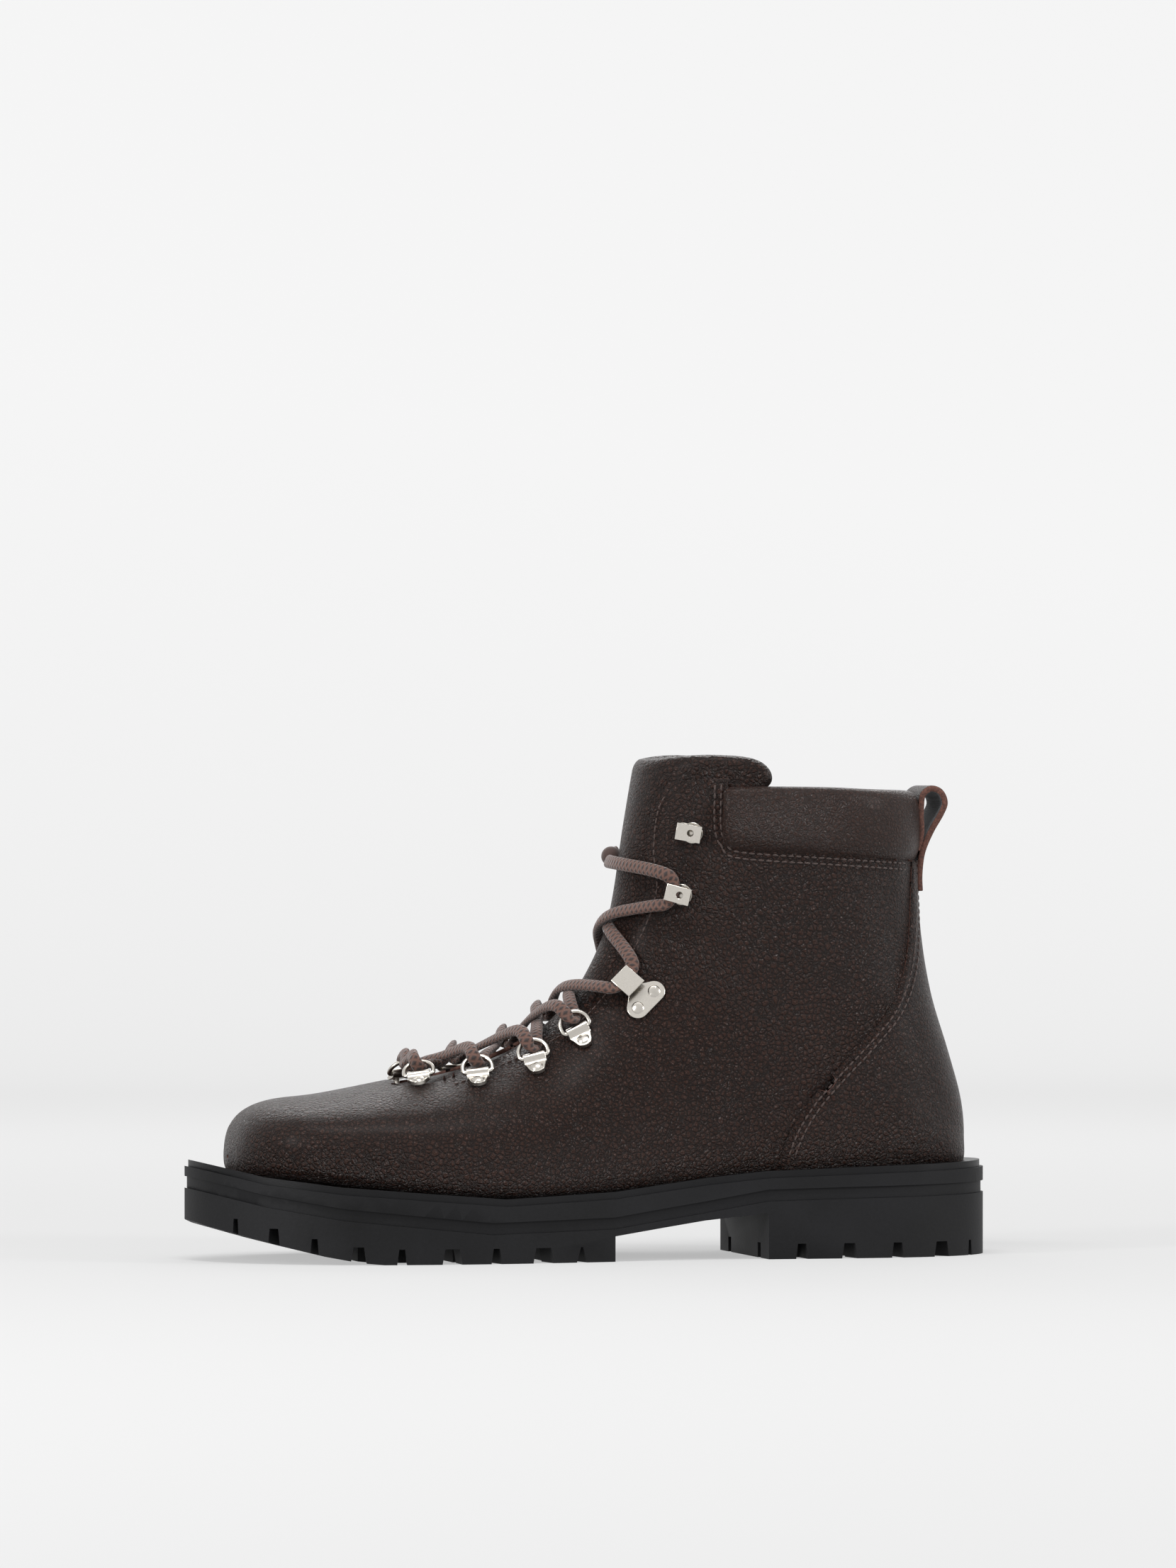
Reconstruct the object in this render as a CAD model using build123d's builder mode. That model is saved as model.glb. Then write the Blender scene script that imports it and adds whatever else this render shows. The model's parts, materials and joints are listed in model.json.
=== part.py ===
from build123d import *
import os
from math import cos, floor, hypot, pi, sin

# A lace-up leather boot for the left foot: toe along -X, heel along +X, outer (lateral) side on -Y,
# +Z up, standing on Z = 0. Lengths are in millimetres.

os.makedirs("parts", exist_ok=True)

# ---- overall sizes -------------------------------------------------------------------------
sole_length = 310.0        # toe to heel over the outsole
sole_width = 104.0         # widest place of the outsole, at the ball
boot_height = 191.5        # ground to the top of the tongue

# ---- leather, stiffeners and linings, from outside to inside -------------------------------
leather = 1.8              # upper leather
stiffener = 1.3            # toe puff, heel counter, facing stays, insole board
insulation_thickness = 3.0
lining_thickness = 0.8
layer_gap = 0.15           # clearance between neighbouring layers
back_panel_proud = 1.2     # the back panel laps over the quarter by this height
lap_width = 8.0            # width of that lap
tongue_foam_thickness = 3.5
collar_depth = 7.6         # padded collar, outer face to inner face
collar_proud = 1.0         # how far the collar stands out of the upper

# ---- sole unit -----------------------------------------------------------------------------
lug_depth = 5.8
band_height = 4.4          # recessed line round the midsole
band_depth = 0.9
welt_height = 2.7
welt_width = 6.0
welt_inset = 1.4           # welt bead set back from the sole edge
seat_clearance = 0.1       # sole unit to upper
shank_width = 14.0
shank_thickness = 0.9
footbed_thickness = 4.0
heel_front = 61.0          # front face of the heel, along the boot

# ---- lace hardware -------------------------------------------------------------------------
sheet_metal = 0.8
ring_wire = 0.85           # radius of the D ring's wire
ring_clearance = 0.10      # radial clearance of the wire in the clip's barrel
ring_width = 12.8          # outside
ring_reach = 8.0           # barrel axis to the ring's far side, outside
ring_tilt = 28.0           # ring above the leather's tangent plane, degrees
clip_width = 8.5
clip_length = 8.4          # barrel axis to the tip
rivet_shank = 1.2          # radius
rivet_head = 2.4           # radius
hardware_lift = 0.3       # metal above the leather

# ---- grading: the last and the sole lines are drawn for size 43 ----------------------------
grade_x = sole_length / 310.0
grade_y = sole_width / 104.0
grade_z = boot_height / 191.5

# Sections through the last, from the toe, over the instep and heel, to the top line.
# back x, back z, front x, front z, centre y, half width, belly height share, sharpness low, high
stations = [
    (-137.6, 33.2, -137.6, 46.0, 6.0, 14.0, 0.45, 2.6, 2.3),
    (-135.4, 32.2, -135.4, 52.2, 5.6, 22.0, 0.42, 3.4, 2.4),
    (-130.0, 31.2, -130.0, 57.3, 5.0, 30.5, 0.40, 4.4, 2.4),
    (-120.0, 29.8, -120.5, 60.6, 4.3, 38.5, 0.38, 5.0, 2.4),
    (-103.0, 27.4, -104.0, 62.6, 3.2, 45.0, 0.37, 5.0, 2.3),
    (-82.0, 24.6, -84.0, 66.4, 1.8, 49.5, 0.36, 5.0, 2.15),
    (-58.0, 22.2, -62.5, 71.0, 0.0, 51.0, 0.34, 5.0, 1.95),
    (-33.0, 21.4, -44.0, 76.0, -2.0, 49.5, 0.33, 5.0, 1.8),
    (-6.0, 22.6, -28.2, 83.1, -3.0, 45.0, 0.33, 4.8, 1.75),
    (24.0, 25.2, -16.0, 92.8, -2.8, 40.5, 0.34, 4.6, 1.8),
    (58.0, 28.4, -6.8, 103.3, -1.6, 37.5, 0.36, 4.6, 1.85),
    (94.0, 30.2, -1.0, 112.6, -0.6, 36.5, 0.38, 4.4, 1.95),
    (126.0, 31.2, 3.0, 121.0, 0.0, 36.0, 0.40, 3.8, 2.05),
    (142.6, 34.0, 6.0, 129.4, 0.0, 36.0, 0.42, 3.0, 2.15),
    (145.2, 45.5, 7.8, 137.3, 0.0, 36.0, 0.42, 2.5, 2.2),
    (144.0, 60.0, 9.2, 145.2, 0.0, 35.6, 0.42, 2.4, 2.25),
    (139.0, 78.0, 10.4, 153.1, 0.0, 35.4, 0.44, 2.4, 2.3),
    (132.2, 100.0, 11.7, 162.0, 0.0, 35.6, 0.46, 2.4, 2.3),
    (128.0, 124.0, 13.3, 171.5, 0.0, 36.4, 0.47, 2.4, 2.3),
    (126.5, 150.0, 15.0, 181.0, 0.0, 37.4, 0.48, 2.4, 2.3),
    (126.0, 176.0, 16.8, 190.5, 0.0, 38.0, 0.50, 2.4, 2.3),
    (125.5, 200.0, 18.5, 200.0, 0.0, 38.0, 0.50, 2.4, 2.3),
]
last_station = len(stations) - 1
toe_stations = 2.5         # stations over which an inset also shortens the toe
facets_round = 16
form_stations = [0, 1, 2, 3, 4, 5.5, 7, 8.5, 10, 11.4, 12.4, 13, 14, 15, 16.5, 18.5, 21]


def graded(x, z):
    """A point of a side view line, graded to the wanted length and height."""
    return (x * grade_x, z * grade_z)


def station(t):
    """Section values at a station number that may lie between two stations (Catmull-Rom)."""
    i = min(max(floor(t), 0), last_station - 1)
    f = t - i
    before = stations[max(i - 1, 0)]
    after = stations[min(i + 2, last_station)]
    values = []
    for p0, p1, p2, p3 in zip(before, stations[i], stations[i + 1], after):
        curve = (2 * p0 - 5 * p1 + 4 * p2 - p3) * f * f + (3 * p1 - p0 - 3 * p2 + p3) * f ** 3
        values.append(0.5 * (2 * p1 + (p2 - p0) * f + curve))
    bx, bz, fx, fz, cy, half, belly, low, high = values
    back = graded(bx, bz)
    front = graded(fx, fz)
    return back, front, cy * grade_y, half * grade_y, belly, low, high


def section_point(t, angle, inset):
    """Across and up values of a section's outline; angle 0 is its back or sole side."""
    back, front, cy, half, belly, low, high = station(t)
    height = hypot(front[0] - back[0], front[1] - back[1])
    down = cos(angle) > 0
    power = 2 / (low if down else high)
    reach = (belly if down else 1 - belly) * height - inset
    up = belly * height - (1 if down else -1) * reach * abs(cos(angle)) ** power
    across = cy - (1 if sin(angle) > 0 else -1) * (half - inset) * abs(sin(angle)) ** power
    return across, up


def toe_shift(t, inset):
    return inset * max(0.0, 1 - t / toe_stations)


def skin(t, angle, inset=0.0):
    """A point of the upper's outer face moved inwards by inset; positive angles are lateral."""
    back, front = station(t)[:2]
    height = hypot(front[0] - back[0], front[1] - back[1])
    across, up = section_point(t, angle, inset)
    x = back[0] + (front[0] - back[0]) * up / height + toe_shift(t, inset)
    return Vector(x, across, back[1] + (front[1] - back[1]) * up / height)


def skin_at(x, z, side):
    """Station and angle of the outer face's point at a side view place; side is -1 or 1 in y."""
    best = None
    for i in range(6 * last_station):
        for j in range(2, 30):
            t = i / 6
            angle = -side * pi * j / 31
            p = skin(t, angle)
            miss = (p.X - x) ** 2 + (p.Z - z) ** 2
            if best is None or miss < best[0]:
                best = (miss, t, angle)
    _, t, angle = best
    step = 1e-3
    for _ in range(12):
        p = skin(t, angle)
        pt = (skin(t + step, angle) - p) / step
        pa = (skin(t, angle + step) - p) / step
        det = pt.X * pa.Z - pa.X * pt.Z
        t += ((x - p.X) * pa.Z - pa.X * (z - p.Z)) / det
        angle += (pt.X * (z - p.Z) - (x - p.X) * pt.Z) / det
    return t, angle


def skin_frame(x, z, toward, side):
    """A plane on the outer face: x along the edge, y towards the second point, z outwards."""
    t, angle = skin_at(*graded(x, z), side)
    p = skin(t, angle)
    step = 0.02
    along = skin(t + step, angle) - skin(t - step, angle)
    round_ = skin(t, angle + step) - skin(t, angle - step)
    normal = along.cross(round_).normalized()
    if normal.Y * side < 0:
        normal = normal * -1
    tip = skin(*skin_at(*graded(*toward), side)) - p
    down = (tip - normal * tip.dot(normal)).normalized()
    return Plane(origin=p, x_dir=down.cross(normal), z_dir=normal)


forms = {}


def last_form(inset):
    """The closed form of the last in flat facets, moved inwards by inset."""
    if inset in forms:
        return forms[inset]
    rings = []
    for t in form_stations if inset < 3.3 else form_stations[1:]:
        rings.append([skin(t, 2 * pi * (k + 0.5) / facets_round, inset) for k in range(facets_round)])
    facets = [Face(Wire.make_polygon(rings[0])), Face(Wire.make_polygon(rings[-1]))]
    for lower, upper in zip(rings, rings[1:]):
        for k in range(facets_round):
            n = (k + 1) % facets_round
            facets.append(Face(Wire.make_polygon([lower[k], lower[n], upper[n]])))
            facets.append(Face(Wire.make_polygon([lower[k], upper[n], upper[k]])))
    form = Solid(Shell(facets))
    forms[inset] = form if form.volume > 0 else form.fix()
    return forms[inset]


def layer(outer, inner):
    """A shell between two insets of the last."""
    return last_form(outer) - last_form(inner)


def side_prism(outline, half_width=90.0):
    """A side view outline of straight lines carried across the whole boot."""
    with BuildPart(mode=Mode.PRIVATE) as prism:
        with BuildSketch(Plane.XZ):
            with BuildLine():
                Polyline(*[graded(*p) for p in outline], close=True)
            make_face()
        extrude(amount=half_width, both=True)
    return prism.part


# ---- side view lines -----------------------------------------------------------------------
sole_top = [(-160, 36.8), (-152, 34.8), (-132, 29.8), (-105, 26.2), (-43, 21.4), (1, 23.6),
            (38, 28.4), (61, 30.6), (110, 32.2), (162, 33.6)]
band_bottom = [(-160, 28.6), (-152, 26.6), (-132, 21.4), (-105, 16.6), (-49, 11.0), (0, 12.3),
               (36, 17.8), (61, 22.0), (93, 22.7), (162, 23.8)]
sole_bottom = [(-160, 17.5), (-150, 13.5), (-126, 6.8), (-112, 3.2), (-99, 0.8), (-90, 0.0)]
forefoot_end = 0.0
waist = [(forefoot_end, 9.6), (36, 15.0), (heel_front, 17.5)]
# inner edge of each facing, from the throat to the top of the facing
throat_edge = [(-77.5, 66.0), (-62.7, 67.8), (-43, 74.2), (-17.6, 86), (-1.5, 99), (11.3, 117.3),
               (19.3, 138), (18.6, 155), (21.0, 172), (27, 180.6), (46.3, 182)]
collar_front = 46.3
collar_edge = [(46.3, 182), (46.3, 164.4), (48.3, 158.6), (53, 156.2), (83, 154.2), (121, 151.8),
               (150, 150.2)]
collar_top = [(46.3, 178.2), (50.0, 179.4), (84, 179.0), (112, 177.8), (150, 176.5)]
back_edge = [(122.8, 152.0), (120.6, 126.4), (117.5, 110.3), (110.9, 96.1), (100.6, 84.1),
             (86.9, 69.9), (76.2, 57.9), (68.8, 45.9), (64.0, 31.0), (62.0, 20.0)]

# plan outline of the sole: x, y
sole_outline = [(-155, 5), (-149, -16), (-134, -34), (-109, -48), (-80, -53.5), (-50, -54), (-15, -49),
                (20, -43), (55, -40.5), (90, -40), (124, -36), (146, -22), (155, 0), (146, 22),
                (127, 34), (95, 38), (60, 37), (25, 38), (-10, 43), (-45, 49), (-78, 50.5),
                (-108, 46.5), (-134, 36), (-149, 21)]


def sole_ring(inset):
    """The plan outline moved inwards along its own normals."""
    points = [Vector(x * grade_x, y * grade_y) for x, y in sole_outline]
    moved = []
    for i, p in enumerate(points):
        tangent = (points[(i + 1) % len(points)] - points[i - 1]).normalized()
        moved.append(p + Vector(-tangent.Y, tangent.X) * inset)
    return moved


def sole_column(inset, low=-1.0, high=60.0):
    """A vertical column inside the sole's outline."""
    with BuildPart(mode=Mode.PRIVATE) as column:
        with BuildSketch(Plane.XY.offset(low)):
            with BuildLine():
                Spline(*sole_ring(inset), periodic=True)
            make_face()
        extrude(amount=high - low)
    return column.part


def raised(line, rise):
    """A side view line moved up by a true height."""
    return [(x, z + rise / grade_z) for x, z in line]


def above(line, rise=0.0):
    moved = raised(line, rise)
    return side_prism(moved + [(line[-1][0], 260), (line[0][0], 260)])


def below(line, rise=0.0):
    moved = raised(line, rise)
    return side_prism(moved + [(line[-1][0], -30), (line[0][0], -30)])


def save(piece, name):
    piece.part.label = name
    export_step(piece.part, f"parts/{name}.step")


# ---- sole unit -----------------------------------------------------------------------------
# side gaps between the lugs: centre x, width at the ground, width at the gap's root
forefoot_gaps = [(-141, 4, 2), (-129, 6.5, 3.5), (-115, 4, 2.2), (-99.5, 6.5, 4), (-83.5, 4, 2.2),
                 (-64.5, 8, 5.5), (-47.5, 4.4, 2.4), (-29, 8.6, 6), (-13.5, 4.8, 0.8)]
heel_gaps = [(74, 4.8, 3.2), (92.7, 6.2, 4.2), (111.8, 5.0, 3.4), (130, 7.4, 5.2), (144, 2.6, 1.6)]
gap_reach = 13.0           # how far a side gap runs in from the edge
channel_inset = 13.0       # channel between the edge lugs and the middle lugs
channel_width = 4.5


def tread_level(x):
    """Height of the tread's ground side at a place along the boot, without grading."""
    for (x0, z0), (x1, z1) in zip(sole_bottom, sole_bottom[1:]):
        if x0 <= x <= x1:
            return z0 + (z1 - z0) * (x - x0) / (x1 - x0)
    return 0.0


def edge_at(x, side):
    """Edge point and inward direction of the sole's outline at a place along one side."""
    half = len(sole_outline) // 2 + 1
    run = sole_outline[:half] if side < 0 else [sole_outline[0]] + sole_outline[:half - 2:-1]
    for (x0, y0), (x1, y1) in zip(run, run[1:]):
        if x0 <= x <= x1:
            y = y0 + (y1 - y0) * (x - x0) / (x1 - x0)
            tangent = Vector((x1 - x0) * grade_x, (y1 - y0) * grade_y).normalized()
            inward = Vector(-tangent.Y, tangent.X) * (-1 if side > 0 else 1)
            return Vector(x * grade_x, y * grade_y), inward


def gap_cutter(x, side, wide, narrow):
    """A tapered gap that runs in from the sole's edge, as deep as the lugs."""
    p, inward = edge_at(x, side)
    root = tread_level(x) * grade_z + lug_depth
    middle = p + inward * (gap_reach / 2 - 2)
    with BuildPart(mode=Mode.PRIVATE) as gap:
        with BuildSketch(Plane(origin=(middle.X, middle.Y, 0), x_dir=(-inward.Y, inward.X, 0),
                               z_dir=(inward.X, inward.Y, 0))):
            with BuildLine():
                Polyline((-wide / 2, -1), (wide / 2, -1), (narrow / 2, root), (-narrow / 2, root), close=True)
            make_face()
        extrude(amount=gap_reach / 2 + 2, both=True)
    return gap.part


def ground_band(rise):
    """Everything from below the ground to a height above the tread's curved ground side."""
    line = sole_bottom + [(forefoot_end, 0.0), (heel_front, 0.0), (162, 0.0)]
    raised_line = [graded(x, z) for x, z in line]
    with BuildPart(mode=Mode.PRIVATE) as band:
        with BuildSketch(Plane.XZ):
            with BuildLine():
                upper = [(x, z + rise) for x, z in raised_line]
                Polyline(*upper, (upper[-1][0], -5), (upper[0][0], -5), close=True)
            make_face()
        extrude(amount=90, both=True)
    return band.part


with BuildPart() as midsole:
    add(sole_column(0))
    add(below(sole_top), mode=Mode.INTERSECT)
    add(above(band_bottom), mode=Mode.INTERSECT)
    with BuildPart(mode=Mode.PRIVATE) as recess:
        add(sole_column(-1))
        add(sole_column(band_depth), mode=Mode.SUBTRACT)
        add(below(band_bottom, band_height), mode=Mode.INTERSECT)
    add(recess.part, mode=Mode.SUBTRACT)
    add(last_form(-seat_clearance), mode=Mode.SUBTRACT)
save(midsole, "midsole")

cutters = []
for side in (-1, 1):
    for x, wide, narrow in forefoot_gaps + heel_gaps:
        cutters.append(gap_cutter(x, side, wide, narrow))
with BuildPart() as outsole:
    add(sole_column(0))
    add(below(band_bottom, -0.05), mode=Mode.INTERSECT)
    add(side_prism(sole_bottom + [(forefoot_end - 0.01, 0), waist[0], waist[1], waist[2],
                   (heel_front + 0.01, 0), (162, 0), (162, 60), (-160, 60)]), mode=Mode.INTERSECT)
    with BuildPart(mode=Mode.PRIVATE) as channel:
        add(sole_column(channel_inset))
        add(sole_column(channel_inset + channel_width), mode=Mode.SUBTRACT)
        add(ground_band(lug_depth), mode=Mode.INTERSECT)
    add(channel.part, mode=Mode.SUBTRACT)
    with BuildPart(mode=Mode.PRIVATE) as bars:
        with BuildSketch(Plane.XY.offset(-3)):
            for x, wide, narrow in forefoot_gaps[2:] + heel_gaps[:-1]:
                with Locations((x * grade_x, 0)):
                    Rectangle(narrow + 2, 90)
        extrude(amount=40)
        add(sole_column(channel_inset + 1), mode=Mode.INTERSECT)
        add(ground_band(lug_depth), mode=Mode.INTERSECT)
    add(bars.part, mode=Mode.SUBTRACT)
    add(cutters, mode=Mode.SUBTRACT)
save(outsole, "outsole")

with BuildPart() as welt:
    add(sole_column(welt_inset))
    add(sole_column(welt_inset + welt_width), mode=Mode.SUBTRACT)
    add(above(sole_top, 0.02), mode=Mode.INTERSECT)
    add(below(sole_top, welt_height), mode=Mode.INTERSECT)
    add(last_form(-seat_clearance), mode=Mode.SUBTRACT)
save(welt, "welt")

# ---- layers of the upper, as insets from its outer face ------------------------------------
stiff_out = leather + layer_gap
stiff_in = stiff_out + stiffener
warm_out = stiff_in + layer_gap
warm_in = warm_out + insulation_thickness
lining_out = warm_in + layer_gap
lining_in = lining_out + lining_thickness
tongue_leather_in = warm_out + 1.2
tongue_foam_out = tongue_leather_in + layer_gap
tongue_foam_in = tongue_foam_out + tongue_foam_thickness
tongue_lining_out = tongue_foam_in + layer_gap
tongue_lining_in = tongue_lining_out + lining_thickness
foot_bed_out = lining_in + layer_gap

# ---- where the lace hardware sits: side view place, and a place its tip points to ----------
clip_places = [((-68.9, 68.0), (-73.5, 60.6)), ((-48.2, 69.4), (-50.7, 59.5)),
               ((-26.4, 75.2), (-26.2, 65.4)), ((-9.2, 85.8), (-5.2, 76.3))]
lock_place = ((16.6, 98.0), (21.5, 93.2))
speed_places = [((30.5, 138.1), (38.0, 136.0)), ((34.0, 161.5), (42.0, 160.0))]
sides = ((-1, "lateral"), (1, "medial"))
clip_frames = {side: [skin_frame(*at, tip, side) for at, tip in clip_places] for side, _ in sides}
lock_frames = {side: skin_frame(*lock_place[0], lock_place[1], side) for side, _ in sides}
speed_frames = {side: [skin_frame(*at, tip, side) for at, tip in speed_places] for side, _ in sides}

clip_rivet_y = 5.2         # clip's rivet from the barrel axis
lock_rivet_x = 4.5         # lock hook's two rivets, each side of its middle
rivet_places = []
for side, _ in sides:
    for frame in clip_frames[side]:
        rivet_places.append((frame, 0, clip_rivet_y, 2 * sheet_metal))
    rivet_places.append((lock_frames[side], -lock_rivet_x, 0, sheet_metal))
    rivet_places.append((lock_frames[side], lock_rivet_x, 0, sheet_metal))
    for frame in speed_frames[side]:
        rivet_places.append((frame, 0, 0, sheet_metal))


def rivet_holes(radius, low, high):
    """Round holes for every rivet, between two heights over the leather's face."""
    with BuildPart(mode=Mode.PRIVATE) as holes:
        for frame, x, y, _ in rivet_places:
            with BuildSketch(frame.offset(low)):
                with Locations((x, y)):
                    Circle(radius)
            extrude(amount=high - low)
    return holes.part


hole_depth = 4.5
shank_holes = rivet_holes(rivet_shank + 0.15, -hole_depth, hole_depth)
stay_holes = rivet_holes(rivet_head + 0.15, -hole_depth, hole_depth)
flange_pockets = rivet_holes(rivet_head + 0.15, -stiff_in - 0.1, -stiff_out - 0.1)

# flat seats pressed into the leather under the hardware
with BuildPart() as seats:
    for side, _ in sides:
        for frame in clip_frames[side] + [lock_frames[side]] + speed_frames[side]:
            with Locations(frame * Location((0, clip_length / 2 - 1, hardware_lift - 0.1))):
                Box(clip_width + 1, clip_length + 4, 6, align=(Align.CENTER, Align.CENTER, Align.MIN))

# tongue's side edge under the facings, and the front edge of the linings behind it
tongue_edge = [(-74.0, 54), (-62, 55.5), (-42, 61), (-14, 73), (7, 90), (22, 112), (32, 138), (33.5, 160),
               (40, 176), (43.5, 182.2)]
tongue_top = [(62.0, 182.2), (61.0, 186.5), (54.0, 190.0), (39.5, 191.5), (20, 191.0), (-85, 191.0),
              (-85, 52)]
lining_edge = [(-88.0, 49.5), (-61, 52.5), (-40, 58), (-11, 70.5), (10, 88), (25.5, 111), (35.5, 138),
               (36.8, 160), (43.0, 175), (45.0, 186)]
stay_back = [(-92.0, 52), (-60, 46.5), (-34, 52), (-2, 64), (19, 82), (34, 105), (43, 130), (45, 158),
             (45, 182)]
margin_inset = 24.0        # width of the lasted margin turned under the foot
margin_rise = 6.0          # height of the zone that holds the margin, filler and insole board

throat = side_prism(throat_edge + [(46.3, 260), (-77.5, 260)])
collar_zone = side_prism(collar_edge[1:] + [(150, 260), (46.3, 260)])
top_cut = side_prism([(-160, 182), (160, 182), (160, 260), (-160, 260)])
lining_front = side_prism(lining_edge + [(45.0, 260), (-160, 260), (-160, 230), (-88, 230)])
sole_zone = below(sole_top, margin_rise)
bottom_hole = sole_column(margin_inset) & sole_zone
back_zone = side_prism(back_edge + [(200, 20), (200, 152.0)])
lap_zone = side_prism([(x + lap_width, z) for x, z in back_edge] + [(200, 20), (200, 152.0)])

with BuildPart() as shank_zone:
    with BuildSketch(Plane.XY):
        with Locations((26 * grade_x, 0)):
            SlotOverall(112 * grade_x, shank_width)
    extrude(amount=60)

with BuildPart() as vamp_quarter:
    add(layer(0, leather))
    add([throat, collar_zone, top_cut, bottom_hole, lap_zone], mode=Mode.SUBTRACT)
    add([shank_holes, flange_pockets, seats.part], mode=Mode.SUBTRACT)
save(vamp_quarter, "vamp_quarter")

with BuildPart() as back_panel:
    add(layer(-back_panel_proud, leather))
    add(back_zone, mode=Mode.INTERSECT)
    add([collar_zone, bottom_hole], mode=Mode.SUBTRACT)
    with BuildPart(mode=Mode.PRIVATE) as lapped:
        add(last_form(0))
        add(lap_zone, mode=Mode.SUBTRACT)
    add(lapped.part, mode=Mode.SUBTRACT)
    add(above(sole_top, welt_height + 0.1), mode=Mode.INTERSECT)
save(back_panel, "back_panel")

with BuildPart() as bottom_filler:
    add(layer(0.05, leather - 0.05))
    add(sole_column(margin_inset + 0.4), mode=Mode.INTERSECT)
    add(sole_zone, mode=Mode.INTERSECT)
    with BuildPart(mode=Mode.PRIVATE) as shank_pocket:
        add(offset(shank_zone.part, amount=0.2))
    add(shank_pocket.part, mode=Mode.SUBTRACT)
save(bottom_filler, "bottom_filler")

with BuildPart() as shank:
    add(layer(0.45, 0.45 + shank_thickness))
    add(shank_zone.part, mode=Mode.INTERSECT)
    add(sole_zone, mode=Mode.INTERSECT)
save(shank, "shank")

stiff_layer = layer(stiff_out, stiff_in)
with BuildPart() as insole_board:
    add(stiff_layer)
    add(below(sole_top, margin_rise + 1.5), mode=Mode.INTERSECT)
save(insole_board, "insole_board")

with BuildPart() as toe_puff:
    add(stiff_layer)
    add(above(sole_top, margin_rise + 2.5), mode=Mode.INTERSECT)
    add(side_prism([(-180, -10), (-100, -10), (-108, 100), (-180, 100)]), mode=Mode.INTERSECT)
save(toe_puff, "toe_puff")

with BuildPart() as heel_counter:
    add(stiff_layer)
    add(above(sole_top, margin_rise + 2.5), mode=Mode.INTERSECT)
    add(side_prism([(84, -10), (180, -10), (180, 95), (118, 90)]), mode=Mode.INTERSECT)
save(heel_counter, "heel_counter")

stay_zone = side_prism(stay_back + [(-160, 182), (-160, 52)])
for side, name in ((-1, "facing_stay_lateral"), (1, "facing_stay_medial")):
    with BuildPart() as stay:
        add(stiff_layer)
        add(stay_zone, mode=Mode.INTERSECT)
        add([throat, stay_holes], mode=Mode.SUBTRACT)
        with BuildPart(mode=Mode.PRIVATE) as half:
            with Locations((0, side * 60.3, 100)):
                Box(400, 120, 300)
            with Locations((-160, 0, 100)):
                Box(150, 300, 300, mode=Mode.SUBTRACT)
        add(half.part, mode=Mode.INTERSECT)
    save(stay, name)

with BuildPart() as insulation:
    add(layer(warm_out, warm_in))
    add([lining_front, collar_zone, top_cut, flange_pockets], mode=Mode.SUBTRACT)
save(insulation, "insulation")

with BuildPart() as lining:
    add(layer(lining_out, lining_in))
    add([lining_front, collar_zone, top_cut], mode=Mode.SUBTRACT)
save(lining, "lining")

with BuildPart() as footbed:
    add(last_form(foot_bed_out))
    add(below(sole_top, foot_bed_out + footbed_thickness), mode=Mode.INTERSECT)
save(footbed, "footbed")

tongue_zone = side_prism(tongue_edge + tongue_top)
tongue_layers = (("tongue_leather", warm_out, tongue_leather_in),
                 ("tongue_foam", tongue_foam_out, tongue_foam_in),
                 ("tongue_lining", tongue_lining_out, tongue_lining_in))
for name, outer, inner in tongue_layers:
    with BuildPart() as tongue_piece:
        add(layer(outer, inner))
        add(tongue_zone, mode=Mode.INTERSECT)
        add(flange_pockets, mode=Mode.SUBTRACT)
    save(tongue_piece, name)

# ---- padded collar: a leather cover closed round its foam ----------------------------------
collar_inner = collar_depth - collar_proud
collar_top_cut = side_prism(collar_top + [(150, 260), (46.3, 260)])
foam_roof = side_prism([(x, z - 1.3) for x, z in collar_top] + [(150, 260), (46.3, 260)])
foam_zone = side_prism([(x + 1.3, z + 1.3) for x, z in collar_edge[1:]] + [(150, 260), (47.6, 260)])
with BuildPart() as collar_foam:
    add(layer(-collar_proud + 1.3, collar_inner - 1.3))
    add(foam_zone, mode=Mode.INTERSECT)
    add(foam_roof, mode=Mode.SUBTRACT)
save(collar_foam, "collar_foam")

with BuildPart() as collar:
    add(layer(-collar_proud, collar_inner))
    add(collar_zone, mode=Mode.INTERSECT)
    add(side_prism(raised(collar_edge[1:], 0.1) + [(150, 260), (46.4, 260)]), mode=Mode.INTERSECT)
    add(collar_top_cut, mode=Mode.SUBTRACT)
    with BuildPart(mode=Mode.PRIVATE) as foam_space:
        add(layer(-collar_proud + 1.2, collar_inner - 1.2))
        add(side_prism([(x + 1.2, z + 1.2) for x, z in collar_edge[1:]] + [(150, 260), (47.5, 260)]),
            mode=Mode.INTERSECT)
        add(side_prism([(x, z - 1.2) for x, z in collar_top] + [(150, 260), (46.3, 260)]),
            mode=Mode.SUBTRACT)
    add(foam_space.part, mode=Mode.SUBTRACT)
save(collar, "collar")

# ---- pull loop: a strap folded into a drop shape, hinged by its own leather at the foot ----
tab_width = 24.0
tab_strap = 1.7
tab_foot = (129.2, 152.8)
tab_head = (135.0, 176.5)
tab_head_radius = 5.0
tab_foot_radius = 1.2
with BuildPart() as pull_tab:
    with BuildSketch(Plane.XZ):
        with BuildSketch(mode=Mode.PRIVATE) as drop:
            with Locations(graded(*tab_head)):
                Circle(tab_head_radius)
            with Locations(graded(*tab_foot)):
                Circle(tab_foot_radius)
            make_hull()
        with BuildSketch(mode=Mode.PRIVATE) as eye:
            with Locations(graded(*tab_head)):
                Circle(tab_head_radius - tab_strap)
            with Locations(graded(tab_foot[0] + 1.6, tab_foot[1] + 6)):
                Circle(0.4)
            make_hull()
        add(drop.sketch)
        add(eye.sketch, mode=Mode.SUBTRACT)
    extrude(amount=tab_width / 2, both=True)
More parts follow.
